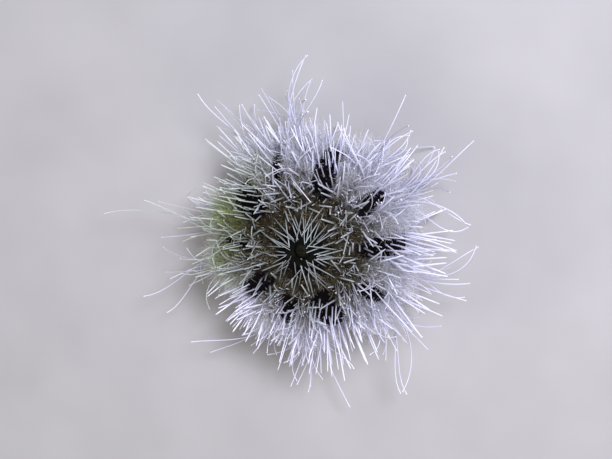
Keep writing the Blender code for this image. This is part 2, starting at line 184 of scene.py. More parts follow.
def linked(name: str, data: bpy.types.ID) -> bpy.types.Object:
    """Makes an object of a mesh, a lamp or a lens, and puts it in the scene."""
    made = bpy.data.objects.new(name, data)
    bpy.context.scene.collection.objects.link(made)
    return made


def carry(mesh: bpy.types.Mesh, **facts: Iterable[float]) -> None:
    """Stores numbers on a mesh, one a corner under each name."""
    for name, values in facts.items():
        mesh.attributes.new(name, "FLOAT", "POINT").data.foreach_set("value", values)


def carry_roots(mesh: bpy.types.Mesh, roots: Iterable[float]) -> None:
    """Stores on a mesh where each corner lies on the round map, three numbers a corner."""
    mesh.attributes.new("root", "FLOAT_VECTOR", "POINT").data.foreach_set("vector", roots)


@dataclass(frozen=True)
class Finish:
    """What every finish shares: a name and a Principled shader to feed."""

    name: str
    roughness: float = 0.5
    shine: float = 0.5
    translucency: float = 0.0
    scatter: float = 0.5 * MM

    def start(self) -> tuple[bpy.types.Material, bpy.types.NodeTree, bpy.types.Node]:
        """Makes the material with its shader, which lets some light through where it is told to."""
        made = bpy.data.materials.new(self.name)
        made.use_nodes = True
        shader = made.node_tree.nodes["Principled BSDF"]
        shader.inputs["Roughness"].default_value = self.roughness
        shader.inputs["Specular IOR Level"].default_value = self.shine
        if self.translucency:
            shader.inputs["Subsurface Weight"].default_value = self.translucency
            shader.inputs["Subsurface Scale"].default_value = self.scatter
        return made, made.node_tree, shader

    def roughen(
        self,
        tree: bpy.types.NodeTree,
        shader: bpy.types.Node,
        height: bpy.types.NodeSocket,
        depth: float,
        strength: float,
    ) -> None:
        """Gives the shader bumps.

        Args:
            tree: The material's tree.
            shader: Its shader.
            height: What the bumps follow.
            depth: How high a full bump is; below 0 it goes inwards.
            strength: How strongly it shows.
        """
        values = {"Strength": strength, "Distance": abs(depth), "Height": height}
        bump = add_node(tree, "ShaderNodeBump", values, invert=depth < 0)
        tree.links.new(bump.outputs["Normal"], shader.inputs["Normal"])


@dataclass(frozen=True)
class CoatTissue(Finish):
    """Spines, feet or hairs, coloured along their length, and from the apex to the edge."""

    upper: tuple = ()
    outer: tuple = ()
    # Painted green light on one flank, multiplied into the colour where the tinge is high
    painted_green_light: str = "#A9BC78"
    translucency: float = 0.2
    scatter: float = 0.4 * MM
    scatter_colour: tuple = (1.0, 0.9, 0.8)
    tone_spread: float = 0.3
    # Fine ribs along a spine, where it has any
    rib_count: float = 0.0
    rib_height: float = 0.03 * MM

    def material(self) -> bpy.types.Material:
        """Blends the two colour runs by zone, then shifts each filament by its own tone."""
        made, tree, shader = self.start()
        along = named(tree, "along")
        upper, outer = (ramp(tree, along, run) for run in (self.upper, self.outer))
        colour = blend(tree, named(tree, "zone"), upper, outer)
        # Painted green light on one flank, multiplied in by the tinge
        colour = blend(tree, named(tree, "tinge"), colour, linear(self.painted_green_light), "MULTIPLY")
        values = {"Value": named(tree, "tone"), "To Min": 1 - self.tone_spread, "To Max": 1.0}
        grey = add_node(tree, "ShaderNodeMapRange", values).outputs[0]
        tree.links.new(blend(tree, 1.0, colour, grey, "MULTIPLY"), shader.inputs["Base Color"])
        shader.inputs["Subsurface Radius"].default_value = self.scatter_colour
        if self.rib_count:
            values = {0: named(tree, "ring"), 1: ROUND * self.rib_count}
            turns = add_node(tree, "ShaderNodeMath", values, operation="MULTIPLY").outputs[0]
            ribs = add_node(tree, "ShaderNodeMath", {0: turns}, operation="SINE").outputs[0]
            self.roughen(tree, shader, ribs, self.rib_height, 0.3)
        return made


@dataclass(frozen=True)
class PlateSkin(Finish):
    """Thin living skin over calcite plates: near black where bare and, as painted shade, round the apex, else
    brown above and pale below.
    """

    furred: tuple = ((0.35, "#100E09"), (0.68, "#322B1D"))
    flank: tuple = ((0.35, "#9E9CA4"), (0.68, "#CFCED8"))
    # Near black of the bare bands; round the apex and on the apical plates the same colour is painted shade
    bare: tuple = ((0.4, "#020102"), (0.8, "#0D0509"))
    # Painted green light on one flank, multiplied into the skin where the tinge is high
    painted_green_light: str = "#A6B468"
    mottle_size: float = 1.6 * MM
    granule_size: float = 0.5 * MM
    granule_height: float = 0.12 * MM

    def material(self) -> bpy.types.Material:
        """Mixes the skins by height and by how bare the piece is, which round the apex gives painted shade,
        with granules as bump.
        """
        made, tree, shader = self.start()
        place = add_node(tree, "ShaderNodeTexCoord").outputs["Object"]
        values = {"Vector": place, "Scale": 1 / self.mottle_size, "Detail": 4.0}
        mottle = add_node(tree, "ShaderNodeTexNoise", values).outputs["Fac"]
        upper, outer, bare = (ramp(tree, mottle, run) for run in (self.furred, self.flank, self.bare))
        colour = blend(tree, named(tree, "zone"), upper, outer)
        # Painted green light on one flank, multiplied in by the tinge
        colour = blend(tree, named(tree, "tinge"), colour, linear(self.painted_green_light), "MULTIPLY")
        # Bare colour: the bands' own near black, and painted shade round the apex
        tree.links.new(blend(tree, named(tree, "bare"), colour, bare), shader.inputs["Base Color"])
        values = {"Vector": place, "Scale": 1 / self.granule_size}
        cells = add_node(tree, "ShaderNodeTexVoronoi", values, feature="SMOOTH_F1").outputs["Distance"]
        self.roughen(tree, shader, cells, -self.granule_height, 0.6)
        return made


@dataclass(frozen=True)
class SoftTissue(Finish):
    """Damp soft skin with folds, as on the anal field and round the mouth, with painted shade along a run."""

    colours: tuple = ((0.35, "#1A1D0D"), (0.7, "#4A5029"))
    # Painted shade along the outline, from the axis outwards, multiplied over the colours
    shade: tuple = ((0.42, "#FFFFFF"), (0.62, "#1C1C1C"))
    fold_size: float = 0.7 * MM
    fold_height: float = 0.15 * MM
    translucency: float = 0.1
    scatter: float = 0.6 * MM

    def material(self) -> bpy.types.Material:
        """Mottles the two colours, multiplies painted shade over them from the axis outwards and wrinkles the
        surface.
        """
        made, tree, shader = self.start()
        place = add_node(tree, "ShaderNodeTexCoord").outputs["Object"]
        values = {"Vector": place, "Scale": 1 / self.fold_size, "Detail": 3.0}
        folds = add_node(tree, "ShaderNodeTexNoise", values).outputs["Fac"]
        shade = ramp(tree, named(tree, "rim"), self.shade)
        colour = blend(tree, 1.0, ramp(tree, folds, self.colours), shade, "MULTIPLY")
        tree.links.new(colour, shader.inputs["Base Color"])
        self.roughen(tree, shader, folds, self.fold_height, 0.5)
        return made


@dataclass(frozen=True)
class ToothCalcite(Finish):
    """Dense hard calcite, polished by scraping: smooth and cream, with fine growth lines."""

    colours: tuple = ((0.0, "#B9A98C"), (0.35, "#EFE9DA"))
    line_width: float = 0.25 * MM
    translucency: float = 0.1

    def material(self) -> bpy.types.Material:
        """Draws faint growth lines across the tooth."""
        made, tree, shader = self.start()
        place = add_node(tree, "ShaderNodeTexCoord").outputs["Object"]
        scale = 1 / self.line_width / ROUND
        values = {"Vector": place, "Scale": scale, "Distortion": 1.0, "Detail": 2.0}
        lines = add_node(tree, "ShaderNodeTexWave", values, bands_direction="Z").outputs["Fac"]
        tree.links.new(ramp(tree, lines, self.colours), shader.inputs["Base Color"])
        return made


@dataclass(frozen=True)
class StudioPaper(Finish):
    """Matt pale background paper with a faint unevenness."""

    colours: tuple = ((0.3, "#A19F9F"), (0.7, "#A8A6A6"))
    blotch: float = 40 * MM

    def material(self) -> bpy.types.Material:
        """Mixes two near greys by a wide soft noise."""
        made, tree, shader = self.start()
        place = add_node(tree, "ShaderNodeTexCoord").outputs["Object"]
        values = {"Vector": place, "Scale": 1 / self.blotch}
        cloud = add_node(tree, "ShaderNodeTexNoise", values).outputs["Fac"]
        tree.links.new(ramp(tree, cloud, self.colours), shader.inputs["Base Color"])
        return made


# Calcite under a thin skin: a dull sheen, brown at the root and near white at the blunt tip
SPINE_CALCITE = CoatTissue(
    "living_spine_calcite",
    roughness=0.45,
    shine=0.35,
    upper=((0.0, "#15130D"), (0.35, "#5C5E54"), (0.75, "#9CA3A2"), (1.0, "#D2D9DB")),
    outer=((0.0, "#5C5A66"), (0.25, "#ABABC2"), (0.6, "#D0D0E6"), (1.0, "#F2F2FC")),
    # The painted green light on one flank
    painted_green_light="#D6DEC0",
    tone_spread=0.45,
    rib_count=12,
)
# Wet muscle that lets light through: soft, pale, a little glossy
FOOT_TISSUE = CoatTissue(
    "tube_foot_tissue",
    roughness=0.5,
    shine=0.3,
    upper=((0.0, "#3B3729"), (0.5, "#80837E"), (1.0, "#BDC3CA")),
    outer=((0.0, "#9D9BA8"), (0.5, "#CACAE0"), (1.0, "#EFEFFE")),
    # The painted green light on one flank
    painted_green_light="#D2DBB8",
    translucency=0.4,
)
# Hair-thin calcite in skin: a brown nap above, a white one on the flanks; above, the near-black root end is
# painted shade deep in the nap and the pale tip a painted highlight
VELVET_TISSUE = CoatTissue(
    "miliary_spine_calcite",
    roughness=0.6,
    shine=0.2,
    upper=((0.0, "#0C0B08"), (0.5, "#554D3A"), (1.0, "#A19C86")),
    outer=((0.0, "#B2B1BC"), (0.5, "#CFCFDE"), (1.0, "#F0F0FC")),
    # The painted green light on one flank
    painted_green_light="#A0AE60",
    tone_spread=0.7,
)
# Drawn-in feet packed together: light goes right through, so they look like cotton
COTTON_TISSUE = CoatTissue(
    "drawn_in_foot_tissue",
    roughness=0.5,
    shine=0.2,
    upper=((0.0, "#6C654E"), (1.0, "#B4B29F")),
    outer=((0.0, "#D8D8E8"), (1.0, "#F2F3FF")),
    # The painted green light on one flank
    painted_green_light="#A6B66A",
    translucency=0.6,
    scatter=0.8 * MM,
    tone_spread=0.1,
)
# Thin stalks and small jaws, dark at the root
JAW_TISSUE = CoatTissue(
    "pedicellaria_tissue",
    shine=0.2,
    upper=((0.0, "#1A150C"), (0.6, "#4C442D"), (1.0, "#8D8770")),
    outer=((0.0, "#6A6250"), (0.6, "#A7A49E"), (1.0, "#CFCEDA")),
    # The painted green light on one flank
    painted_green_light="#95AB5E",
    translucency=0.3,
    tone_spread=0.45,
)
# Polished knobs in dark skin: each shows as a small glint
KNOB_CALCITE = CoatTissue(
    "tubercle_calcite",
    roughness=0.3,
    upper=((0.0, "#0D0A07"), (1.0, "#2A251C")),
    outer=((0.0, "#120D0F"), (1.0, "#383136")),
)
# Damp skin, dull and dark between the spines, grainy with small plates
SHELL_SKIN = PlateSkin("skin_over_plates", roughness=0.8, shine=0.06)
# The same skin over the ring of plates, almost black with an olive cast: painted shade in the pit round the
# anal field
DISC_SKIN = PlateSkin(
    "skin_over_apical_plates",
    roughness=0.8,
    shine=0.05,
    bare=((0.4, "#050604"), (0.8, "#12130C")),
)
# Wrinkled olive skin, with painted shade at its rim where it tucks under the plates
ANAL_SKIN = SoftTissue(
    "anal_field_skin",
    roughness=0.6,
    shine=0.1,
    colours=((0.35, "#080904"), (0.7, "#22260F")),
)
# Tough pinkish-grey membrane, with painted shade inside the lip, in the mouth's hollow
MOUTH_SKIN = SoftTissue(
    "mouth_membrane_skin",
    colours=((0.35, "#564842"), (0.7, "#A59A92")),
    shade=((0.3, "#2A2220"), (0.5, "#FFFFFF")),
)
# Dense calcite, polished by scraping: cream and smooth
TOOTH = ToothCalcite("tooth_calcite", roughness=0.25)
# Matt paper: no gloss, so that only the animal shines
PAPER = StudioPaper("background_paper", roughness=0.95)


class Kind(Enum):
    """The two kinds of sector."""

    AMBULACRUM = "ambulacrum"
    INTERAMBULACRUM = "interambulacrum"


class Ground(Enum):
    """Where on the skin a coat stands."""

    FURRED = "everywhere but on the bare bands"
    SEAMS = "beside the seams between sectors, where the pores are"


@dataclass(frozen=True)
class Sector:
    """One of the ten wedges of the shell."""

    kind: Kind
    number: int
    centre: float
    half: float

    @property
    def node(self) -> str:
        """The name of its solid."""
        return f"{self.kind.value}_{self.number}"


@dataclass
class Filament:
    """One spine, foot or hair: its guide line, its thickness, its root and its colouring."""

    points: list[Vector]
    radii: list[float]
    root: tuple[float, float]
    zone: float
    tinge: float
    tone: float


@dataclass
class Shell:
    """The round test, turned from the same outline as the solids."""

    centre: Vector
    radius: float = 33 * MM
    top: float = 45 * MM
    bottom: float = 7 * MM
    ambitus: float = 23.5 * MM
    dome_squareness: float = 2.15
    base_squareness: float = 2.7
    pentagon: float = 0.012
    first_interambulacrum: float = math.radians(4)
    interambulacrum_span: float = math.radians(42)
    disc_radius: float = 6 * MM
    mouth_radius: float = 9 * MM
    anal_radius: float = 3 * MM
    plate_height: float = 2.3 * MM
    suture_depth: float = 0.14 * MM
    # Half the width of a suture: as a share of a plate where it is level, in metres where upright
    suture_width: tuple = (0.12, 0.35 * MM)
    inset: float = 0.08 * MM
    disc_height: float = 0.22 * MM
    pore_place: float = 5 * MM
    pore_depth: float = 0.35 * MM
    wedge_place: float = 4.2 * MM
    wedge_depth: float = 0.2 * MM
    # Dark bare patches: azimuth in degrees, half the width, first and last arc in millimetres
    bare_patches: tuple = (
        (2, 4.6, 19, 45),
        (36, 3.3, 22, 37),
        (76, 4.6, 19, 47),
        (112, 2.7, 24, 47),
        (144, 5.8, 19, 46),
        (178, 2.6, 19, 36),
        (220, 4.0, 16, 37),
        (254, 3.0, 17, 38),
        (289, 5.0, 16, 39),
        (325, 3.2, 21, 39),
    )
    # Gaps in the outline, where the coat is thin and short: azimuth and half the width in degrees
    notches: tuple = ((18, 8), (48, 4), (77, 5), (146, 6), (212, 7), (246, 7), (336, 7))
    # Where a notch ends and where it is full, as shares of half its width
    notch_edge: tuple = (1.4, 0.6)
    # How wide and how deep the edge of a patch winds
    ragged: tuple = (4 * MM, 0.9 * MM)
    # Between each of these pairs, one kind of skin or coat gives way to another
    patch_edge: tuple = (0.5 * MM, -0.5 * MM)
    # Round the apex the skin is bare of fur and painted near black as shade under the star spines
    bare_shaded_apex: tuple = (12.5 * MM, 7.5 * MM)
    pale_edge: tuple = (19 * MM, 37 * MM)
    flank_edge: tuple = (38 * MM, 48 * MM)
    seam_fade: tuple = (9 * MM, 3 * MM)
    # Hollows in the fur: how wide they are, their edge in the noise, and how much fur is left
    hollow_size: float = 3.5 * MM
    hollow_edge: tuple = (-0.25, 0.15)
    hollow_fur: float = 0.1
    # How far down the flanks the coat on the seams closes over a patch again, as a share
    closing: float = 0.4
    # Painted green light on one flank: the arc and azimuth of its middle, how far it reaches, and where it
    # fades
    green_light_place: tuple = (31 * MM, math.radians(165))
    green_light_reach: tuple = (19 * MM, math.radians(68))
    green_light_fade: tuple = (1.0, 0.3)
    # How much of half the round map the surface takes up
    map_share: float = 0.48
    columns: int = 300
    rim_fold: float = 1.6 * MM
    angles: np.ndarray = field(init=False)
    arcs: np.ndarray = field(init=False)
    radii: np.ndarray = field(init=False)

    def __post_init__(self) -> None:
        """Measures the outline's length from the apex."""
        self.angles = np.linspace(0, math.pi, 1441)
        line = np.array([self.outline(angle) for angle in self.angles])
        self.radii = line[:, 0]
        self.arcs = np.concatenate([[0], np.cumsum(np.hypot(*np.diff(line, axis=0).T))])

    @property
    def first_ambulacrum(self) -> float:
        """The azimuth of the middle of the first ambulacrum."""
        return self.first_interambulacrum + RAY_TURN / 2

    def outline(self, angle: float) -> tuple[float, float]:
        """Radius and height of the surface; the angle is 0 at the apex and pi at the mouth."""
        upper = angle <= math.pi / 2
        power = 2 / (self.dome_squareness if upper else self.base_squareness)
        rise = self.top - self.ambitus if upper else self.ambitus - self.bottom
        height = math.copysign(abs(math.cos(angle)) ** power, math.cos(angle)) * rise
        return self.radius * abs(math.sin(angle)) ** power, self.ambitus + height

    def angle_at(self, arc: float) -> float:
        """The outline's angle at this arc."""
        return float(np.interp(arc, self.arcs, self.angles))

    def radius_at(self, arc: float) -> float:
        """The distance from the axis at this arc."""
        return float(np.interp(arc, self.arcs, self.radii))

    def arc_at(self, radius: float, below: bool = False) -> float:
        """The arc where the shell has this radius, on its upper or its lower half."""
        half = self.arcs > self.arcs[-1] / 2 if below else self.arcs <= self.arcs[-1] / 2
        radii, arcs = self.radii[half], self.arcs[half]
        return float(np.interp(radius, radii[::-1], arcs[::-1]) if below else np.interp(radius, radii, arcs))

    def height_at(self, radius: float, below: bool = False) -> float:
        """The surface's height at this distance from the axis."""
        return self.outline(self.angle_at(self.arc_at(radius, below)))[1]

    def point(self, arc: float, azimuth: float) -> Vector:
        """The point of the surface at this arc and azimuth."""
        angle = self.angle_at(arc)
        radius, height = self.outline(angle)
        corners = math.cos(RAYS * (azimuth - self.first_ambulacrum))
        radius *= 1 + self.pentagon * corners * math.sin(angle) ** 2
        return self.centre + Vector((radius * math.cos(azimuth), radius * math.sin(azimuth), height))

    def directions(self, arc: float, azimuth: float) -> tuple[Vector, Vector]:
        """Out of the shell, and along it towards the apex, at this point."""
        step = 0.4 * MM
        low, high = self.outline(self.angle_at(arc - step)), self.outline(self.angle_at(arc + step))
        run, climb = high[0] - low[0], high[1] - low[1]
        size = math.hypot(run, climb)
        away = radial(azimuth)
        return away * (-climb / size) + UP * (run / size), away * (-run / size) - UP * (climb / size)

    def inside(self, point: Vector, margin: float = 0.5 * MM) -> bool:
        """Whether a point lies under the surface or closer to it than a margin."""
        level, height = (point - self.centre).xy.length, point.z - self.ambitus
        squareness = self.dome_squareness if height > 0 else self.base_squareness
        rise = self.top - self.ambitus if height > 0 else self.ambitus - self.bottom
        across, along = level / (self.radius + margin), abs(height) / (rise + margin)
        return across**squareness + along**squareness < 1

    def unwrap(self, arc: float, azimuth: float) -> tuple[float, float]:
        """The place of this point on a round map of the whole surface, the apex at its middle."""
        out = self.map_share * arc / self.arcs[-1]
        return 0.5 + out * math.cos(azimuth), 0.5 + out * math.sin(azimuth)

    def sectors(self) -> list[Sector]:
        """The ten sectors in order round the axis."""
        half = self.interambulacrum_span / 2
        made = []
        for ray in range(RAYS):
            turn = ray * RAY_TURN
            made.append(Sector(Kind.INTERAMBULACRUM, ray + 1, self.first_interambulacrum + turn, half))
            made.append(Sector(Kind.AMBULACRUM, ray + 1, self.first_ambulacrum + turn, RAY_TURN / 2 - half))
        return made

    @property
    def nodes(self) -> list[str]:
        """The names of the ten sectors' solids."""
        return [sector.node for sector in self.sectors()]

    def within(self, azimuth: float) -> tuple[Kind, float, float]:
        """The kind of the sector there, the turn from its middle, and half its span."""
        half = self.interambulacrum_span / 2
        ray = round((azimuth - self.first_interambulacrum) / RAY_TURN)
        turn = azimuth - self.first_interambulacrum - ray * RAY_TURN
        if abs(turn) <= half:
            return Kind.INTERAMBULACRUM, turn, half
        ray = round((azimuth - self.first_ambulacrum) / RAY_TURN)
        turn = azimuth - self.first_ambulacrum - ray * RAY_TURN
        return Kind.AMBULACRUM, turn, RAY_TURN / 2 - half

    def clearance(self, arc: float, azimuth: float) -> float:
        """How far a place is from the nearest bare patch; negative within the patch."""
        radius, nearest = self.radius_at(arc), math.inf
        for middle, half, first, last in self.bare_patches:
            across = abs(wrapped(azimuth - math.radians(middle))) * radius / (half * MM)
            along = abs(2 * arc / MM - first - last) / (last - first)
            nearest = min(nearest, ((across**3 + along**3) ** (1 / 3) - 1) * half * MM)
        size, depth = self.ragged
        return nearest - noise.noise(self.point(arc, azimuth) / size) * depth

    def bareness_and_apex_shade(self, arc: float, azimuth: float) -> float:
        """How bare the skin is: 1 in a dark patch and on the apex, where the near black is painted shade, 0
        where it is furred.
        """
        patch = smoothstep(*self.patch_edge, self.clearance(arc, azimuth))
        return max(patch, smoothstep(*self.bare_shaded_apex, arc))

    def density(self, ground: Ground, arc: float, azimuth: float) -> float:
        """How much of a coat stands there, from 0 to 1."""
        bare = self.bareness_and_apex_shade(arc, azimuth)
        if ground is Ground.FURRED:
            spot = self.point(arc, azimuth) / self.hollow_size
            tufted = smoothstep(*self.hollow_edge, noise.noise(spot))
            return (1 - bare) * (self.hollow_fur + (1 - self.hollow_fur) * tufted)
        _, turn, half = self.within(azimuth)
        seam = smoothstep(*self.seam_fade, (half - abs(turn)) * self.radius_at(arc))
        return seam * (1 - bare * (1 - self.closing * smoothstep(*self.flank_edge, arc)))

    def zone(self, arc: float) -> float:
        """0 on the brown upper side, 1 on the pale flanks."""
        return smoothstep(*self.pale_edge, arc)

    def notch(self, arc: float, azimuth: float) -> float:
        """How thin and short the coat is, from 0 to 1 in the middle of a gap of the outline."""
        deepest = 0.0
        for middle, half in self.notches:
            low, high = (math.radians(half) * share for share in self.notch_edge)
            turn = abs(wrapped(azimuth - math.radians(middle)))
            deepest = max(deepest, smoothstep(low, high, turn))
        return deepest * self.zone(arc)

    def tinge(self, arc: float, azimuth: float) -> float:
        """How green the coat is with painted green light, which lies on one flank only."""
        turn = wrapped(azimuth - self.green_light_place[1])
        away = math.hypot((arc - self.green_light_place[0]) / self.green_light_reach[0], turn / self.green_light_reach[1])
        return smoothstep(*self.green_light_fade, away)

    def relief(self, arc: float, azimuth: float) -> float:
        """How far the plates stand out: they are lowest along their sutures."""
        _, turn, half = self.within(azimuth)
        row = (arc / self.plate_height + (0.5 if turn > 0 else 0)) % 1
        across = min(abs(turn), half - abs(turn)) * self.radius_at(arc)
        level, upright = self.suture_width
        groove = max(1 - min(row, 1 - row) / level, 1 - across / upright, 0)
        return -self.suture_depth * groove**2

    def disc_relief(self, arc: float, azimuth: float) -> float:
        """Five large plates with a pore each, and five small ones wedged between their outer ends."""
        radius = self.radius_at(arc)
        kind, turn, _ = self.within(azimuth)
        if kind is Kind.INTERAMBULACRUM:
            pore = math.hypot(turn * radius, radius - self.pore_place)
            return self.disc_height - self.pore_depth * smoothstep(0.35 * MM, 0.15 * MM, pore)
        wedge = abs(abs(turn) * radius - max(0, radius - self.wedge_place))
        return self.disc_height - self.wedge_depth * smoothstep(0.3 * MM, 0, wedge)

    def band(self, name: str, span: tuple[float, float], rows: int, relief: Callable) -> bpy.types.Object:
        """Turns a ring of skin with both its rims folded in.

        Args:
            name: The piece's name.
            span: Its first and last arc.
            rows: Steps along it.
            relief: Takes an arc and an azimuth, and gives the height over the smooth surface.

        Returns:
            The ring, carrying what the coats and the shaders read.
        """
        columns, fold = self.columns, self.rim_fold
        points, facts = [], []
        for arc in np.linspace(*span, rows + 1):
            zone = self.zone(arc)
            for column in range(columns):
                azimuth = ROUND * column / columns
                outward, _ = self.directions(arc, azimuth)
                points.append(self.point(arc, azimuth) + outward * (relief(arc, azimuth) - self.inset))
                bare, tinge = self.bareness_and_apex_shade(arc, azimuth), self.tinge(arc, azimuth)
                facts.append((bare, 1 - bare, zone, tinge, *self.unwrap(arc, azimuth), 0.0))
        last = rows * columns
        for start, drop in ((0, -fold), (last, fold if span[1] > self.arcs[-1] / 2 else -fold)):
            points += [p + UP * drop for p in points[start : start + columns]]
            facts += facts[start : start + columns]
        rings = [(row * columns, (row + 1) * columns) for row in range(rows)]
        rings += [(last + columns, 0), (last, last + 2 * columns)]
        made = mesh_object(name, points, [face for near, far in rings for face in belt(near, far, columns)])
        table = np.array(facts)
        bare, furred, zone, tinge = table[:, :4].T
        carry(made.data, bare=bare, furred=furred, zone=zone, tinge=tinge)
        carry_roots(made.data, table[:, 4:].ravel())
        return made

    def skin(self) -> bpy.types.Object:
        """Turns the skin of the ten sectors."""
        span = self.arc_at(self.disc_radius), self.arc_at(self.mouth_radius, below=True)
        return self.band("test_skin", span, 148, self.relief)

    def apical_disc(self) -> bpy.types.Object:
        """Turns the ring of ten plates round the anal field."""
        span = self.arc_at(self.anal_radius), self.arc_at(self.disc_radius) + 0.1 * MM
        return self.band("apical_plates", span, 24, self.disc_relief)

    def rooted(
        self, points: list[Vector], radii: list[float], place: tuple, tone: float, sooner: float = 0
    ) -> Filament:
        """Makes a filament that takes its colouring from where it stands.

        Args:
            points: Its guide line.
            radii: Its thickness at each point.
            place: The arc and azimuth of its root.
            tone: Its own shade, from 0 to 1.
            sooner: How much nearer to the apex than the fur it turns pale.

        Returns:
            The filament.
        """
        zone = self.zone(place[0] + sooner)
        return Filament(points, radii, self.unwrap(*place), zone, self.tinge(*place), tone)


def belt(near: int, far: int, count: int) -> list[tuple[int, ...]]:
    """The faces between two closed rings of corners, given the first corner of each."""
    return [
        (near + side, far + side, far + (side + 1) % count, near + (side + 1) % count)
        for side in range(count)
    ]


def mesh_object(name: str, points: list[Vector], faces: list[tuple[int, ...]]) -> bpy.types.Object:
    """Makes a smooth mesh object at the origin.

    Args:
        name: The object's name.
        points: Corners in metres.
        faces: Corner numbers of each face, turned so that it points outwards.

    Returns:
        The linked object.
    """
    mesh = bpy.data.meshes.new(name)
    mesh.from_pydata([tuple(p) for p in points], [], faces)
    mesh.shade_smooth()
    return linked(name, mesh)


@dataclass
class Thicket:
    """A coarse map of the space that is taken, so that filaments pass beside each other."""

    cell: float = 1.2 * MM
    pitch: float = 0.6 * MM
    gap: float = 0.05 * MM
    taken: dict = field(default_factory=dict)

    def samples(self, filament: Filament) -> Iterator[tuple[Vector, float]]:
        """Points along a filament with its radius there."""
        parts = zip(filament.points, filament.points[1:], filament.radii, filament.radii[1:])
        for start, end, first, last in parts:
            steps = max(1, round((end - start).length / self.pitch))
            for step in range(steps):
                yield start.lerp(end, (step + 0.5) / steps), max(first, last)

    def key(self, point: Vector) -> tuple[int, int, int]:
        """The cell that a point lies in."""
        return tuple(math.floor(c / self.cell) for c in point)

    def clear(self, filament: Filament) -> bool:
        """Whether nothing stands where this filament would pass."""
        for point, radius in self.samples(filament):
            x, y, z = self.key(point)
            for i in (x - 1, x, x + 1):
                for j in (y - 1, y, y + 1):
                    for k in (z - 1, z, z + 1):
                        for other, size in self.taken.get((i, j, k), ()):
                            if (other - point).length < radius + size + self.gap:
                                return False
        return True

    def add(self, filament: Filament) -> None:
        """Marks the filament's space as taken."""
        for point, radius in self.samples(filament):
            self.taken.setdefault(self.key(point), []).append((point, radius))

    def first_clear(self, draw: Callable[[], Filament | None], tries: int) -> list[Filament]:
        """Draws up to that many times and keeps the first filament that has room.

        Args:
            draw: Makes one at random, or None where it would leave its bounds.
            tries: How often to draw.

        Returns:
            The kept filament in a list, or an empty list.
        """
        for _ in range(tries):
            filament = draw()
            if filament and self.clear(filament):
                self.add(filament)
                return [filament]
        return []


@dataclass
class NodeBuilder:
    """What both trees of geometry nodes share: their sockets, their ending and their use."""

    tree: bpy.types.NodeTree = field(init=False)
    SOCKETS = ()

    def __post_init__(self) -> None:
        """Makes the tree with its sockets and lets the subclass fill it."""
        self.tree = bpy.data.node_groups.new(type(self).__name__.lower(), "GeometryNodeTree")
        face = self.tree.interface
        for name, kind in (("Source", "Geometry"), *self.SOCKETS, ("Patch", "Float"), ("Finish", "Material")):
            face.new_socket(name, in_out="INPUT", socket_type="NodeSocket" + kind)
        face.new_socket("Made", in_out="OUTPUT", socket_type="NodeSocketGeometry")
        self.fill(add_node(self.tree, "NodeGroupInput").outputs)

    def fill(self, given: bpy.types.bpy_prop_collection) -> None:
        """Adds the tree's own nodes."""
        raise NotImplementedError

    def read(self, name: str | bpy.types.NodeSocket, kind: str = "FLOAT") -> bpy.types.NodeSocket:
        """Reads a value that the geometry carries."""
        node = "GeometryNodeInputNamedAttribute"
        return add_node(self.tree, node, {"Name": name}, data_type=kind).outputs[0]

    def store(
        self, geometry, name: str, value, kind: str = "FLOAT", domain: str = "POINT"
    ) -> bpy.types.NodeSocket:
        """Stores a value on the geometry."""
        values = {"Geometry": geometry, "Name": name, "Value": value}
        node = add_node(self.tree, "GeometryNodeStoreNamedAttribute", values, data_type=kind, domain=domain)
        return node.outputs[0]

    def end(self, geometry: bpy.types.NodeSocket, given: bpy.types.bpy_prop_collection) -> None:
        """Maps each filament to a patch at its root's place, then realizes and dresses the geometry."""
        tree = self.tree
        real = add_node(tree, "GeometryNodeRealizeInstances", {"Geometry": geometry}).outputs[0]
        values = {"X": self.read("ring"), "Y": self.read("along")}
        spot = add_node(tree, "ShaderNodeCombineXYZ", values).outputs[0]
        values = {0: spot, "Scale": given["Patch"]}
        patch = add_node(tree, "ShaderNodeVectorMath", values, operation="SCALE").outputs[0]
        values = {0: self.read("root", "FLOAT_VECTOR"), 1: patch}
        place = add_node(tree, "ShaderNodeVectorMath", values, operation="ADD").outputs[0]
        mapped = self.store(real, "OFBake", place, "FLOAT2", "CORNER")
        smooth = add_node(tree, "GeometryNodeSetShadeSmooth", {"Geometry": mapped}).outputs[0]
        values = {"Geometry": smooth, "Material": given["Finish"]}
        dressed = add_node(tree, "GeometryNodeSetMaterial", values).outputs[0]
        add_node(tree, "NodeGroupOutput", {"Made": dressed})

    def run(
        self, name: str, source: bpy.types.Mesh, finish: bpy.types.Material, **given
    ) -> bpy.types.Object:
        """Runs the tree on a mesh and keeps the result as a plain piece.

        Args:
            name: The piece's name.
            source: What the tree reads.
            finish: The piece's material.
            **given: The tree's own inputs, each with a capital first letter.

        Returns:
            A mesh object at the origin.
        """
        carrier = linked(name + "_source", source)
        modifier = carrier.modifiers.new("build", "NODES")
        modifier.node_group = self.tree
        given |= {"Patch": PATCH, "Finish": finish}
        for socket in self.tree.interface.items_tree:
            if socket.name in given:
                modifier[socket.identifier] = given[socket.name]
        depsgraph = bpy.context.evaluated_depsgraph_get()
        result = bpy.data.meshes.new_from_object(carrier.evaluated_get(depsgraph))
        carrier.modifiers.clear()
        bpy.data.objects.remove(carrier)
        result.name = name
        return linked(name, result)


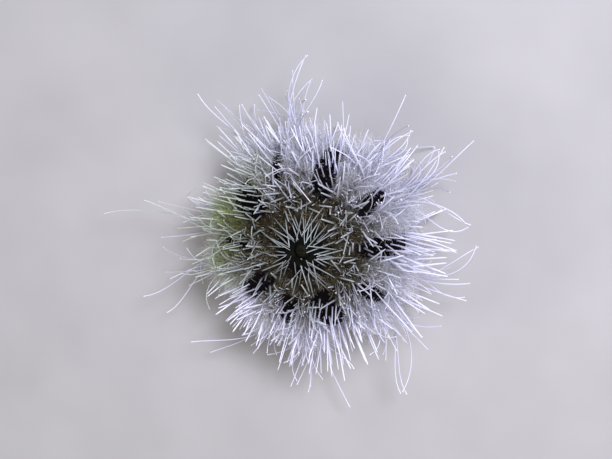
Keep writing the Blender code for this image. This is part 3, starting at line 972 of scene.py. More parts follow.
class Sweep(NodeBuilder):
    """Geometry nodes that sweep a round section along each guide line."""

    SOCKETS = (("Sides", "Int"),)

    def fill(self, given: bpy.types.bpy_prop_collection) -> None:
        """Sweeps a circle of one metre, scaled to the guide's radius."""
        tree = self.tree
        lines = add_node(tree, "GeometryNodeMeshToCurve", {"Mesh": given["Source"]}).outputs[0]
        values = {"Resolution": given["Sides"], "Radius": 1.0}
        circle = add_node(tree, "GeometryNodeCurvePrimitiveCircle", values).outputs[0]
        turn = add_node(tree, "GeometryNodeSplineParameter").outputs["Factor"]
        section = self.store(circle, "ring", turn)
        values = {"Curve": lines, "Profile Curve": section, "Scale": self.read("radius"), "Fill Caps": True}
        self.end(add_node(tree, "GeometryNodeCurveToMesh", values).outputs[0], given)

    def build(
        self, name: str, filaments: list[Filament], sides: int, finish: bpy.types.Material
    ) -> bpy.types.Object:
        """Sweeps all the filaments of one piece.

        Args:
            name: The piece's name.
            filaments: What it is made of.
            sides: Sides of the round section.
            finish: The material of the whole piece.

        Returns:
            A plain mesh object at the origin.
        """
        guides = bpy.data.meshes.new(name + "_guides")
        edges, start = [], 0
        for filament in filaments:
            edges += [(start + i, start + i + 1) for i in range(len(filament.points) - 1)]
            start += len(filament.points)
        guides.from_pydata([tuple(p) for f in filaments for p in f.points], edges, [])
        carry(
            guides,
            radius=[r for f in filaments for r in f.radii],
            along=np.concatenate([np.linspace(0, 1, len(f.points)) for f in filaments]),
            zone=[f.zone for f in filaments for _ in f.points],
            tinge=[f.tinge for f in filaments for _ in f.points],
            tone=[f.tone for f in filaments for _ in f.points],
        )
        carry_roots(guides, [c for f in filaments for _ in f.points for c in (*f.root, 0.0)])
        return self.run(name, guides, finish, Sides=sides)


class Scatter(NodeBuilder):
    """Geometry nodes that stand copies of one small shape on the skin, tilted and sized at random."""

    SOCKETS = (
        ("Shape", "Object"),
        ("Density", "Float"),
        ("Mask", "String"),
        ("Tilt", "Float"),
        ("Smallest", "Float"),
        ("Largest", "Float"),
        ("Seed", "Int"),
    )

    def chance(self, low, high, seed: bpy.types.NodeSocket, kind: str = "FLOAT") -> bpy.types.NodeSocket:
        """A random number or vector for each copy."""
        first, output = (0, 0) if kind == "FLOAT_VECTOR" else (2, 1)
        values = {first: low, first + 1: high, "Seed": seed}
        return add_node(self.tree, "FunctionNodeRandomValue", values, data_type=kind).outputs[output]

    def fill(self, given: bpy.types.bpy_prop_collection) -> None:
        """Spreads points over the skin by the mask's value and stands a copy on each."""
        tree, seed, tilt = self.tree, given["Seed"], given["Tilt"]
        values = {0: self.read(given["Mask"]), 1: given["Density"]}
        density = add_node(tree, "ShaderNodeMath", values, operation="MULTIPLY").outputs[0]
        values = {"Mesh": given["Source"], "Density": density, "Seed": seed}
        spread = add_node(tree, "GeometryNodeDistributePointsOnFaces", values)
        toned = self.store(spread.outputs["Points"], "tone", self.chance(0.0, 1.0, seed))
        back = add_node(tree, "ShaderNodeMath", {0: tilt, 1: -1.0}, operation="MULTIPLY").outputs[0]
        low = add_node(tree, "ShaderNodeCombineXYZ", {"X": back, "Y": back}).outputs[0]
        high = add_node(tree, "ShaderNodeCombineXYZ", {"X": tilt, "Y": tilt, "Z": ROUND}).outputs[0]
        turns = self.chance(low, high, seed, "FLOAT_VECTOR")
        lean = add_node(tree, "FunctionNodeEulerToRotation", {0: turns}).outputs[0]
        values = {"Rotation": spread.outputs["Rotation"], "Rotate By": lean}
        stance = add_node(tree, "FunctionNodeRotateRotation", values, rotation_space="LOCAL").outputs[0]
        shape = add_node(tree, "GeometryNodeObjectInfo", {"Object": given["Shape"]}).outputs["Geometry"]
        size = self.chance(given["Smallest"], given["Largest"], seed)
        values = {"Points": toned, "Instance": shape, "Rotation": stance, "Scale": size}
        self.end(add_node(tree, "GeometryNodeInstanceOnPoints", values).outputs[0], given)


@dataclass(frozen=True)
class SmallThings:
    """Small turned shapes that stand all over the skin where one of its values is high."""

    name: str
    finish: Finish
    mask: str
    density: float
    tilt: float
    sizes: tuple[float, float]
    sides: int
    # Radius, height and sideways shift of each ring of the shape, in millimetres
    rings: tuple
    seed: int

    def shape(self) -> bpy.types.Object:
        """Turns one shape about +Z, standing on the origin; it carries where its corners are."""
        points, along, ring, sides = [], [], [], self.sides
        for index, (radius, height, shift) in enumerate(self.rings):
            for side in range(sides):
                turn = ROUND * side / sides
                place = radius * math.cos(turn) + shift, radius * math.sin(turn), height
                points.append(Vector(place) * MM)
                along.append(index / (len(self.rings) - 1))
                ring.append(side / sides)
        last = len(points) - sides
        faces = [tuple(reversed(range(sides))), tuple(range(last, len(points)))]
        for near in range(0, last, sides):
            for side in range(sides):
                following = (side + 1) % sides
                faces.append((near + side, near + following, near + sides + following, near + sides + side))
        made = mesh_object(self.name + "_shape", points, faces)
        carry(made.data, along=along, ring=ring)
        return made

    def build(self, scatter: Scatter, skin: bpy.types.Object) -> bpy.types.Object:
        """Scatters the shape over the skin.

        Args:
            scatter: The tree that does it.
            skin: The skin, carrying the mask.

        Returns:
            One plain piece.
        """
        shape, dress = self.shape(), self.finish.material()
        shape.data.materials.append(dress)
        made = scatter.run(
            self.name,
            skin.data.copy(),
            dress,
            Shape=shape,
            Density=self.density,
            Mask=self.mask,
            Tilt=self.tilt,
            Smallest=self.sizes[0],
            Largest=self.sizes[1],
            Seed=self.seed,
        )
        bpy.data.objects.remove(shape)
        return made


# A thin bent stalk with a closed pair of jaws at its end
PEDICELLARIAE = SmallThings(
    "pedicellariae",
    JAW_TISSUE,
    mask="furred",
    density=0.22 / MM**2,
    tilt=0.8,
    sizes=(0.5, 1.3),
    sides=4,
    rings=(
        (0.1, -0.2, 0),
        (0.07, 0.5, 0.02),
        (0.08, 1.9, 0.3),
        (0.2, 2.25, 0.36),
        (0.16, 2.55, 0.44),
        (0.04, 2.75, 0.5),
    ),
    seed=3,
)
# A low mound with a knob, where a spine has dropped
TUBERCLES = SmallThings(
    "tubercles",
    KNOB_CALCITE,
    mask="bare",
    density=0.2 / MM**2,
    tilt=0.05,
    sizes=(0.5, 1.1),
    sides=7,
    rings=((0.42, -0.1, 0), (0.36, 0.12, 0), (0.2, 0.2, 0), (0.21, 0.3, 0), (0.1, 0.38, 0)),
    seed=4,
)


@dataclass
class SpineCoat:
    """Straight tapered spines with a low boss, a collar and a blunt tip."""

    shell: Shell
    lengths: tuple = ((14, 8), (20, 9), (28, 12), (38, 17.5), (50, 17.5), (62, 11), (75, 7))
    leans: tuple = ((14, 24), (18, 12), (24, 0), (32, -3), (44, -2), (54, 6), (64, 14))
    strays: tuple = ((14, 0.7), (24, 0.55), (33, 0.25), (46, 0.13))
    bare_stray: float = 0.1
    short_stray: float = 0.14
    row_step: float = 2.15 * MM
    column_step: float = 2.15 * MM
    row_jitter: float = 0.3
    column_jitter: float = 0.25
    first_arc: float = 15 * MM
    last_arc: float = 75 * MM
    shaft: float = 0.31 * MM
    tip: float = 0.2 * MM
    boss: float = 0.7 * MM
    shortest: float = 2.2 * MM
    # Least, most and likeliest length and least and most width, as shares of the full ones
    length_spread: tuple = (0.45, 1.2, 0.85)
    width_spread: tuple = (0.85, 1.12)
    # How much lighter the flanks' spines are, as a share of the range of tones
    flank_tone: float = 0.6
    # The share of roots that bear a spine, and in a gap between two bundles the share of that
    bare_share: float = 0.58
    bare_width: float = 0.76
    flank_share: float = 0.42
    # On the flank with painted green light fewer spines stand; this is the share kept there
    green_flank_share: float = 0.3
    gap_share: float = 0.12
    # Short spines: how many for each full one, how many of them give way on the flanks, their scale
    short_share: float = 0.8
    short_loss: float = 0.7
    short_scales: tuple = (0.25, 0.6)
    least_rise: float = 0.32
    # Gaps between bundles: how many swells round the axis, and their edge in the swell
    gaps: float = 5.0
    gap_edge: tuple = (-0.14, 0.1)
    wave_length: float = 25 * MM
    # Neighbours lean the same way: how far, and over what distance
    fan: float = 0.3
    fan_size: float = 8 * MM
    # Bundles: their number, how far the tips gather, where that starts, and how their middles stray
    bundles: int = 34
    gather: float = 0.75
    gather_edge: tuple = (30 * MM, 42 * MM)
    bundle_stray: float = 0.6
    bundle_variety: float = 9
    bundle_run: float = 14 * MM
    # How much longer or shorter whole bundles are on the flanks, and how often that changes
    uneven: float = 0.45
    uneven_turns: float = 3.0
    notch_shortening: float = 0.35
    notch_thinning: float = 0.75
    floor_gap: float = 0.15 * MM
    sooner: float = 6 * MM
    # Rings of the star over the apex: root arc and length in millimetres, and the turn between two
    star: tuple = ((9.8, 6.2, 36), (12.6, 9.8, 13), (15.0, 12.0, 15), (17.6, 12.5, 24))
    star_jitter: float = 0.4
    star_turn: float = math.radians(8)
    star_rise: float = 0.34
    star_tilt: float = 0.15
    star_lengths: tuple = (0.75, 1.12)
    star_width: float = 0.62
    star_widths: tuple = (0.8, 1.2)
    # Beyond these arcs the thinning between bundles ends, towards the mouth
    under_edge: tuple = (64 * MM, 54 * MM)
    # How often a spine of the star, a full one and a short one is tried
    tries: tuple = (8, 5, 2)

    def spine(
        self, place: tuple, heading: Vector, length: float, width: float, tone: float
    ) -> Filament | None:
        """One spine.

        Args:
            place: The arc and azimuth of its root.
            heading: Which way it points.
            length: Its length.
            width: Its thickness as a share of the full one.
            tone: How light it is, from 0 to 1.

        Returns:
            The spine, or None where it can't stand clear of the floor.
        """
        root = self.shell.point(*place)
        outward, _ = self.shell.directions(*place)
        heading = heading.normalized()
        if heading.z < 0:
            length = min(length, (root.z - self.floor_gap) / -heading.z)
        if length < self.shortest:
            return None
        # Distance from the root and radius of boss, neck, collar, shaft and blunt tip
        profile = (
            (0.25 * MM, self.boss * 0.62),
            (0.45 * MM, self.shaft * 0.72),
            (0.75 * MM, self.shaft * 1.22),
            (1.15 * MM, self.shaft),
            (length * 0.6, self.shaft * 0.92),
            (length * 0.94, self.tip),
            (length, self.tip * 0.5),
        )
        points = [root - outward * ROOTED * MM] + [root + heading * out for out, _ in profile]
        radii = [self.boss * width] + [radius * width for _, radius in profile]
        return self.shell.rooted(points, radii, place, tone, self.sooner)

    def standing(self, place: tuple, scale: float, draw: random.Random) -> Filament | None:
        """A spine of the flanks, leaning together with its neighbours.

        Args:
            place: The arc and azimuth of its root.
            scale: 1 for a full one, less for a short thin one.
            draw: The random source.

        Returns:
            The spine, or None where there is no room for it over the floor.
        """
        outward, to_apex = self.shell.directions(*place)
        lean = math.radians(at(self.leans, place[0]))
        heading = outward * math.cos(lean) + to_apex * math.sin(lean)
        heading += noise.noise_vector(self.shell.point(*place) / self.fan_size) * self.fan
        bare = self.shell.bareness_and_apex_shade(*place) > 0.5
        stray = self.bare_stray if bare else at(self.strays, place[0]) + self.short_stray * (1 - scale)
        heading += strewn(draw, stray)
        heading += outward * max(0.0, self.least_rise - heading.dot(outward))
        length = at(self.lengths, place[0]) * MM * scale * draw.triangular(*self.length_spread)
        swell = self.wave(place, self.uneven_turns)
        length *= 1 + self.uneven * swell * smoothstep(*self.gather_edge, place[0])
        length *= 1 - self.notch_shortening * self.shell.notch(*place)
        heading += self.pull(place) / length
        width = (1 + scale) / 2 * (self.bare_width if bare else 1) * draw.uniform(*self.width_spread)
        tone = min(1.0, draw.random() + self.flank_tone * self.shell.zone(place[0]))
        return self.spine(place, heading, length, width, tone)

    def wave(self, place: tuple, turns: float) -> float:
        """A slow random swell round the axis and along the arc, from -1 to 1."""
        return noise.noise(radial(place[1]) * turns + UP * (place[0] / self.wave_length))

    def pull(self, place: tuple) -> Vector:
        """How far a tip moves sideways towards the middle of its bundle, on the flanks only."""
        step = ROUND / self.bundles
        middle = round(place[1] / step) * step
        spot = Vector((middle * self.bundle_variety, place[0] / self.bundle_run, 0))
        middle += noise.noise(spot) * step * self.bundle_stray
        across = self.shell.point(place[0], middle) - self.shell.point(*place)
        return across * self.gather * smoothstep(*self.gather_edge, place[0])

    def star_spine(self, place: tuple, length: float, draw: random.Random) -> Filament | None:
        """A spine that leans in over the apex."""
        inward = -radial(place[1] + draw.gauss(0, self.star_turn))
        heading = inward + UP * (self.star_rise + draw.gauss(0, self.star_tilt))
        length *= MM * draw.uniform(*self.star_lengths)
        width = self.star_width * draw.uniform(*self.star_widths)
        return self.spine(place, heading, length, width, draw.random() ** 2)

    def kept(self, arc: float, azimuth: float) -> float:
        """The share of roots that bear a spine: fewer in bare bands, on the flank with painted green light
        and between bundles.
        """
        if self.shell.bareness_and_apex_shade(arc, azimuth) > 0.5:
            return self.bare_share
        share = 1 - (1 - self.green_flank_share) * self.shell.tinge(arc, azimuth)
        share *= 1 - self.notch_thinning * self.shell.notch(arc, azimuth)
        bundle = smoothstep(*self.gap_edge, self.wave((arc, azimuth), self.gaps))
        bundle = self.gap_share + (1 - self.gap_share) * bundle
        flank = smoothstep(*self.gather_edge, arc) * smoothstep(*self.under_edge, arc)
        return share * (1 - flank * (1 - self.flank_share * bundle))

    def places(self, sector: Sector, draw: random.Random) -> Iterator[tuple[float, float]]:
        """Roots in rows of plates, thinned where spines are fewer."""
        rows = round((self.last_arc - self.first_arc) / self.row_step)
        for row in range(rows + 1):
            arc = self.first_arc + row * (self.last_arc - self.first_arc) / rows
            count = max(1, round(2 * sector.half * self.shell.radius_at(arc) / self.column_step))
            for column in range(count):
                share = (column + 0.5 + draw.uniform(-self.column_jitter, self.column_jitter)) / count
                azimuth = sector.centre + (2 * share - 1) * sector.half
                place = arc + draw.uniform(-self.row_jitter, self.row_jitter) * self.row_step, azimuth
                if draw.random() < self.kept(*place):
                    yield place

    def grow(self, sector: Sector, thicket: Thicket, draw: random.Random) -> list[Filament]:
        """The sector's part of the star, then all full spines, then short ones between them.

        Args:
            sector: The sector.
            thicket: What stands already.
            draw: The random source.

        Returns:
            The spines.
        """
        made = []
        star_tries, full_tries, short_tries = self.tries
        for arc, length, step in self.star:
            count = round(2 * math.degrees(sector.half) / step)
            for index in range(count):
                turn = (2 * (index + 0.5) / count - 1) * sector.half
                place = (arc + draw.uniform(-self.star_jitter, self.star_jitter)) * MM, sector.centre + turn
                made += thicket.first_clear(lambda: self.star_spine(place, length, draw), star_tries)
        full = list(self.places(sector, draw))
        for place in full:
            made += thicket.first_clear(lambda: self.standing(place, 1.0, draw), full_tries)
        for _ in range(round(len(full) * self.short_share)):
            arc, azimuth = draw.choice(full)
            arc += draw.uniform(-0.5, 0.5) * self.row_step
            azimuth += draw.uniform(-0.5, 0.5) * self.column_step / self.shell.radius_at(arc)
            crowded = draw.random() < self.short_loss * smoothstep(*self.gather_edge, arc)
            within = abs(azimuth - sector.centre) < sector.half
            if within and not crowded and self.shell.bareness_and_apex_shade(arc, azimuth) < 0.5:
                scale = draw.uniform(*self.short_scales)
                made += thicket.first_clear(lambda: self.standing((arc, azimuth), scale, draw), short_tries)
        return made


@dataclass
class FootCoat:
    """Thin tube feet with a sucker each, some stretched far out, most drawn in and curled."""

    shell: Shell
    columns: tuple = (0.56, 0.74, 0.92)
    row_step: float = 1.5 * MM
    first_arc: float = 15 * MM
    last_arc: float = 66 * MM
    radius: float = 0.18 * MM
    # How much wider a foot is in the skin, where it leaves it, and how much it thins to its end
    widening: tuple = (1.25, 1.1, 0.25)
    sucker: float = 0.28 * MM
    # Its rings: how far beyond the stalk in millimetres, and the share of its full width
    sucker_rings: tuple = ((0.10, 0.75), (0.20, 1.0), (0.27, 0.7))
    sooner: float = 6 * MM
    stretched: float = 0.42
    # Least and most length and width as shares of the full ones, curl, and steps of the guide line
    stretched_feet: tuple = (0.6, 1.12, 1.0, 0.12, 9)
    drawn_in_feet: tuple = (0.2, 0.45, 0.7, 0.4, 7)
    width_spread: tuple = (0.8, 1.15)
    notch_shortening: float = 0.4
    # Neighbours sway the same way, over this distance and this far
    sway: tuple = (11 * MM, 0.3)
    stray: float = 0.16
    shake: float = 0.05
    # How much of its curl a foot has at its root, and how much more at its end
    curling: tuple = (0.3, 1.6)
    floor_gap: float = 1.2 * MM
    # How the longest feet stand: jitter of the root in millimetres, then spread of the tip and bow
    # for the first one of a place and for its neighbours
    root_jitter: float = 3
    alone: tuple = (0, 0.1)
    bunched: tuple = (1.2 * MM, 0.4)
    # Where their guide line leaves the skin's normal and where it bows, as shares of the span
    rise_share: float = 0.35
    bow_share: float = 0.72
    guide_points: int = 15
    longest_look: tuple = (1.05, 0.9)
    tries: tuple = (20, 4)
    lengths: tuple = ((15, 10), (22, 14), (32, 19), (40, 25), (48, 25), (56, 20), (66, 8))
    # The longest feet: azimuth in degrees, distance from the axis and height of the sucker, arc of
    # the root, all in millimetres, and how many feet meet there
    longest: tuple = (
        (176, 80, 26, 44, 1),
        (168, 62, 34, 40, 1),
        (202, 73, 20, 46, 1),
        (210, 70, 14, 48, 1),
        (222, 64, 24, 42, 1),
        (229, 68, 10, 49, 1),
        (262, 59, 18, 46, 2),
        (266, 62, 16, 47, 1),
        (279, 69, 12, 48, 1),
        (286, 51, 22, 44, 1),
        (292, 57, 20, 46, 1),
        (300, 67, 20, 45, 3),
        (338, 58, 18, 46, 2),
        (345, 57, 20, 46, 2),
        (0, 58, 26, 42, 2),
        (9, 56, 30, 40, 3),
        (34, 67, 30, 40, 1),
        (36, 57, 30, 39, 4),
        (49, 54, 34, 37, 4),
        (58, 62, 34, 38, 1),
        (72, 44, 42, 34, 2),
        (76, 49, 38, 36, 1),
        (86, 57, 32, 40, 1),
        (92, 65, 30, 41, 2),
        (97, 60, 28, 43, 1),
        (130, 66, 26, 44, 1),
        (48, 23, 59.4, 19, 1),
        (190, 26, 57, 20, 1),
        (322, 22, 58.4, 18, 1),
    )

    def foot(self, place: tuple, points: list[Vector], width: float, tone: float) -> Filament:
        """Gives a guide line its thickness and its sucker."""
        end = points[-1]
        ahead = (end - points[-2]).normalized()
        radius, sucker = self.radius * width, self.sucker * width
        rooted, wide, thinner = self.widening
        radii = [radius * rooted]
        radii += [radius * (wide - thinner * i / len(points)) for i in range(1, len(points))]
        points = points + [end + ahead * beyond * MM for beyond, _ in self.sucker_rings]
        radii += [sucker * share for _, share in self.sucker_rings]
        return self.shell.rooted(points, radii, place, tone, self.sooner)

    def waving(self, place: tuple, draw: random.Random) -> Filament | None:
        """A foot of its own length and curl, rooted in a pore.

        Args:
            place: The arc and azimuth of its root.
            draw: The random source.

        Returns:
            The foot, or None where it would touch the floor or the shell.
        """
        root = self.shell.point(*place)
        outward, _ = self.shell.directions(*place)
        stretched = draw.random() < self.stretched
        least, most, width, curl, steps = self.stretched_feet if stretched else self.drawn_in_feet
        length = at(self.lengths, place[0]) * MM * draw.uniform(least, most)
        length *= 1 - self.notch_shortening * self.shell.notch(*place)
        size, sway = self.sway
        heading = outward + noise.noise_vector(root / size) * sway + strewn(draw, self.stray)
        bend = strewn(draw, curl)
        early, later = self.curling
        points = [root - outward * ROOTED * MM, root]
        for step in range(steps):
            points.append(points[-1] + heading.normalized() * (length / steps))
            heading += bend * (early + later * step / steps) + strewn(draw, self.shake)
            if points[-1].z < self.floor_gap or (step > 1 and self.shell.inside(points[-1])):
                return None
        return self.foot(place, points, width * draw.uniform(*self.width_spread), draw.random())

    def longest_foot(self, sector: Sector, spot: tuple, first: bool, draw: random.Random) -> Filament:
        """One of the longest feet.

        Args:
            sector: The ambulacrum that it grows from.
            spot: Its row of the table of longest feet.
            first: Whether it is the first there; the others bow more and end beside it.
            draw: The random source.

        Returns:
            The foot.
        """
        degrees, reach, height, arc, _ = spot
        towards, reach = math.radians(degrees), reach * MM
        side = math.copysign(sector.half * draw.choice(self.columns), wrapped(towards - sector.centre))
        place = (arc + draw.uniform(-self.root_jitter, self.root_jitter)) * MM, sector.centre + side
        root = self.shell.point(*place)
        outward, _ = self.shell.directions(*place)
        tip = Vector((reach * math.cos(towards), reach * math.sin(towards), height * MM))
        spread, bow = self.alone if first else self.bunched
        tip = self.shell.centre + tip
        tip += strewn(draw, spread) - outward * spread
        span = (tip - root).length
        bend = (tip - root).cross(UP).normalized() * span * draw.uniform(-bow, bow)
        rise = root + outward * span * self.rise_share
        corners = (root, rise, root.lerp(tip, self.bow_share) + bend, tip)
        points = [root - outward * ROOTED * MM]
        for share in np.linspace(0, 1, self.guide_points):
            rest = 1 - share
            weights = (rest**3, 3 * rest**2 * share, 3 * rest * share**2, share**3)
            points.append(sum((c * w for c, w in zip(corners, weights)), Vector()))
        return self.foot(place, points, *self.longest_look)

    def grow(self, sector: Sector, thicket: Thicket, draw: random.Random) -> list[Filament]:
        """All feet of an ambulacrum, the longest first.

        Args:
            sector: The ambulacrum.
            thicket: What stands already.
            draw: The random source.

        Returns:
            The feet.
        """
        made = []
        longest_tries, other_tries = self.tries
        for spot in self.longest:
            if abs(wrapped(math.radians(spot[0]) - sector.centre)) < RAY_TURN / 2:
                for first in [True] + [False] * (spot[-1] - 1):
                    made += thicket.first_clear(
                        lambda: self.longest_foot(sector, spot, first, draw), longest_tries
                    )
        for row in range(round((self.last_arc - self.first_arc) / self.row_step)):
            for share in (side * column for side in (-1, 1) for column in self.columns):
                arc = self.first_arc + (row + draw.random()) * self.row_step
                place = arc, sector.centre + sector.half * share
                made += thicket.first_clear(lambda: self.waving(place, draw), other_tries)
        return made


@dataclass
class HairCoat:
    """Fine short filaments, close together, that soften the skin.

    Their number a square millimetre and their heights are tables along the arc, whose places and
    heights are in millimetres.
    """

    shell: Shell
    ground: Ground
    crowds: tuple
    heights: tuple
    thickness: float
    clump: float
    stray: float
    curl: float
    steps: int
    first_arc: float
    last_arc: float = 74 * MM
    # Some are thicker and lighter: how much thicker, how many, and how light the others get
    strong: float = 2.0
    strong_share: float = 0.12
    lightest: float = 0.8
    # How far the hairs lean over, away from the apex
    lean: float = 0.0
    clump_size: float = 3 * MM
    rooted: float = 0.3
    height_spread: tuple = (0.5, 1.3)
    taper: float = 0.7
    # How wide the low edge beside a bare patch is, and how low
    patch_edge: float = 3.5 * MM
    edge_height: float = 0.4

    def grow(self, sector: Sector, draw: random.Random) -> list[Filament]:
        """Strews them evenly over their ground.

        Args:
            sector: The sector.
            draw: The random source.

        Returns:
            The hairs.
        """
        area = (self.last_arc - self.first_arc) * 2 * sector.half * self.shell.radius
        most = max(crowd for _, crowd in self.crowds)
        made = []
        for _ in range(round(area / MM**2 * most)):
            arc = draw.uniform(self.first_arc, self.last_arc)
            azimuth = sector.centre + draw.uniform(-1, 1) * sector.half
            chance = self.shell.radius_at(arc) / self.shell.radius * at(self.crowds, arc) / most
            if draw.random() < chance and draw.random() < self.shell.density(self.ground, arc, azimuth):
                made.append(self.hair((arc, azimuth), draw))
        return made

    def hair(self, place: tuple, draw: random.Random) -> Filament:
        """One hair."""
        root = self.shell.point(*place)
        outward, to_apex = self.shell.directions(*place)
        heading = outward - to_apex * self.lean + noise.noise_vector(root / self.clump_size) * self.clump
        heading += strewn(draw, self.stray)
        curl = strewn(draw, self.curl)
        edge = smoothstep(0, self.patch_edge, self.shell.clearance(*place))
        grown = max(edge, smoothstep(*self.shell.flank_edge, place[0]))
        grown = self.edge_height + (1 - self.edge_height) * grown
        height = at(self.heights, place[0]) * MM * draw.uniform(*self.height_spread) * grown
        points = [root - outward * self.rooted * MM]
        for _ in range(self.steps):
            points.append(points[-1] + heading.normalized() * (height / self.steps))
            heading += curl
        strong = draw.random() < self.strong_share
        base = self.thickness * (self.strong if strong else 1)
        radii = [base * (1 - self.taper * i / self.steps) for i in range(self.steps + 1)]
        tone = 1.0 if strong else draw.random() * self.lightest
        return self.shell.rooted(points, radii, place, tone)


def turned(
    name: str, centre: Vector, outline: list[tuple[float, float]], sides: int, lift: Callable
) -> bpy.types.Object:
    """Turns an outline about the axis into a piece that is closed on the axis at its first point.

    Args:
        name: The piece's name.
        centre: The axis's foot on the floor.
        outline: Radius and height, from the axis outwards, then down or in; faces look up.
        sides: Steps round the axis.
        lift: Takes radius, height and azimuth, and gives the height of that point.

    Returns:
        The piece, carrying how far along the outline each of its points is.
    """
    points, rim = [centre + UP * outline[0][1]], [0.0]
    for ring, (radius, height) in enumerate(outline[1:], 1):
        for side in range(sides):
            azimuth = ROUND * side / sides
            across = Vector((radius * math.cos(azimuth), radius * math.sin(azimuth), 0))
            points.append(centre + across + UP * lift(radius, height, azimuth))
            rim.append(ring / (len(outline) - 1))
    faces = []
    for side in range(sides):
        following = (side + 1) % sides
        faces.append((0, 1 + side, 1 + following))
        for ring in range(len(outline) - 2):
            here = 1 + ring * sides
            faces.append((here + side, here + sides + side, here + sides + following, here + following))
    made = mesh_object(name, points, faces)
    carry(made.data, rim=rim)
    return made


def rounded(corners: list[tuple[float, float]], steps: int) -> list[tuple[float, float]]:
    """Runs a smooth line through corners, with that many steps between each two."""
    line = [corners[0]]
    padded = [corners[0], *corners, corners[-1]]
    for before, start, end, after in zip(padded, padded[1:], padded[2:], padded[3:]):
        for step in range(1, steps + 1):
            t = step / steps
            weights = (-t + 2 * t**2 - t**3, 2 - 5 * t**2 + 3 * t**3, t + 4 * t**2 - 3 * t**3, t**3 - t**2)
            near = (before, start, end, after)
            line.append(tuple(sum(w * c[i] for w, c in zip(weights, near)) / 2 for i in (0, 1)))
    return line


@dataclass
class AnalField:
    """The soft round field at the top, with small scales and the anus on a low cone."""

    shell: Shell
    radius: float = 3.0 * MM
    depth: float = 1.2 * MM
    folds: int = 9
    fold_depth: float = 0.09
    # Between which radii the folds lie, from the rim inwards and from the anus outwards
    fold_rim: tuple = (2.4 * MM, 0.7 * MM)
    fold_core: tuple = (0.1 * MM, 0.5 * MM)
    scale_size: float = 0.45 * MM
    scale_depth: float = 0.12
    # Radius and height over the rim's foot, in millimetres, from the anus outwards
    corners: tuple = (
        (0, 1.0),
        (0.25, 0.9),
        (0.5, 1.55),
        (0.95, 1.3),
        (1.5, 0.85),
        (2.2, 0.7),
        (2.75, 0.6),
        (2.95, 0.3),
        (2.9, 0),
    )

    def build(self) -> bpy.types.Object:
        """Builds the field, its rim tucked under the plates."""
        floor = self.shell.height_at(self.radius) - self.depth
        line = rounded([(radius * MM, floor + rise * MM) for radius, rise in self.corners], 5)

        def folded(radius: float, height: float, azimuth: float) -> float:
            """The height with the folds round the anus and the small scales."""
            near = smoothstep(*self.fold_rim, radius) * smoothstep(*self.fold_core, radius)
            fold = math.cos(self.folds * azimuth) * self.fold_depth * MM * near
            scale = noise.noise(radial(azimuth) * radius / self.scale_size) * self.scale_depth * MM
            return height + fold + scale

        return turned("anal_field", self.shell.centre, line, 90, folded)


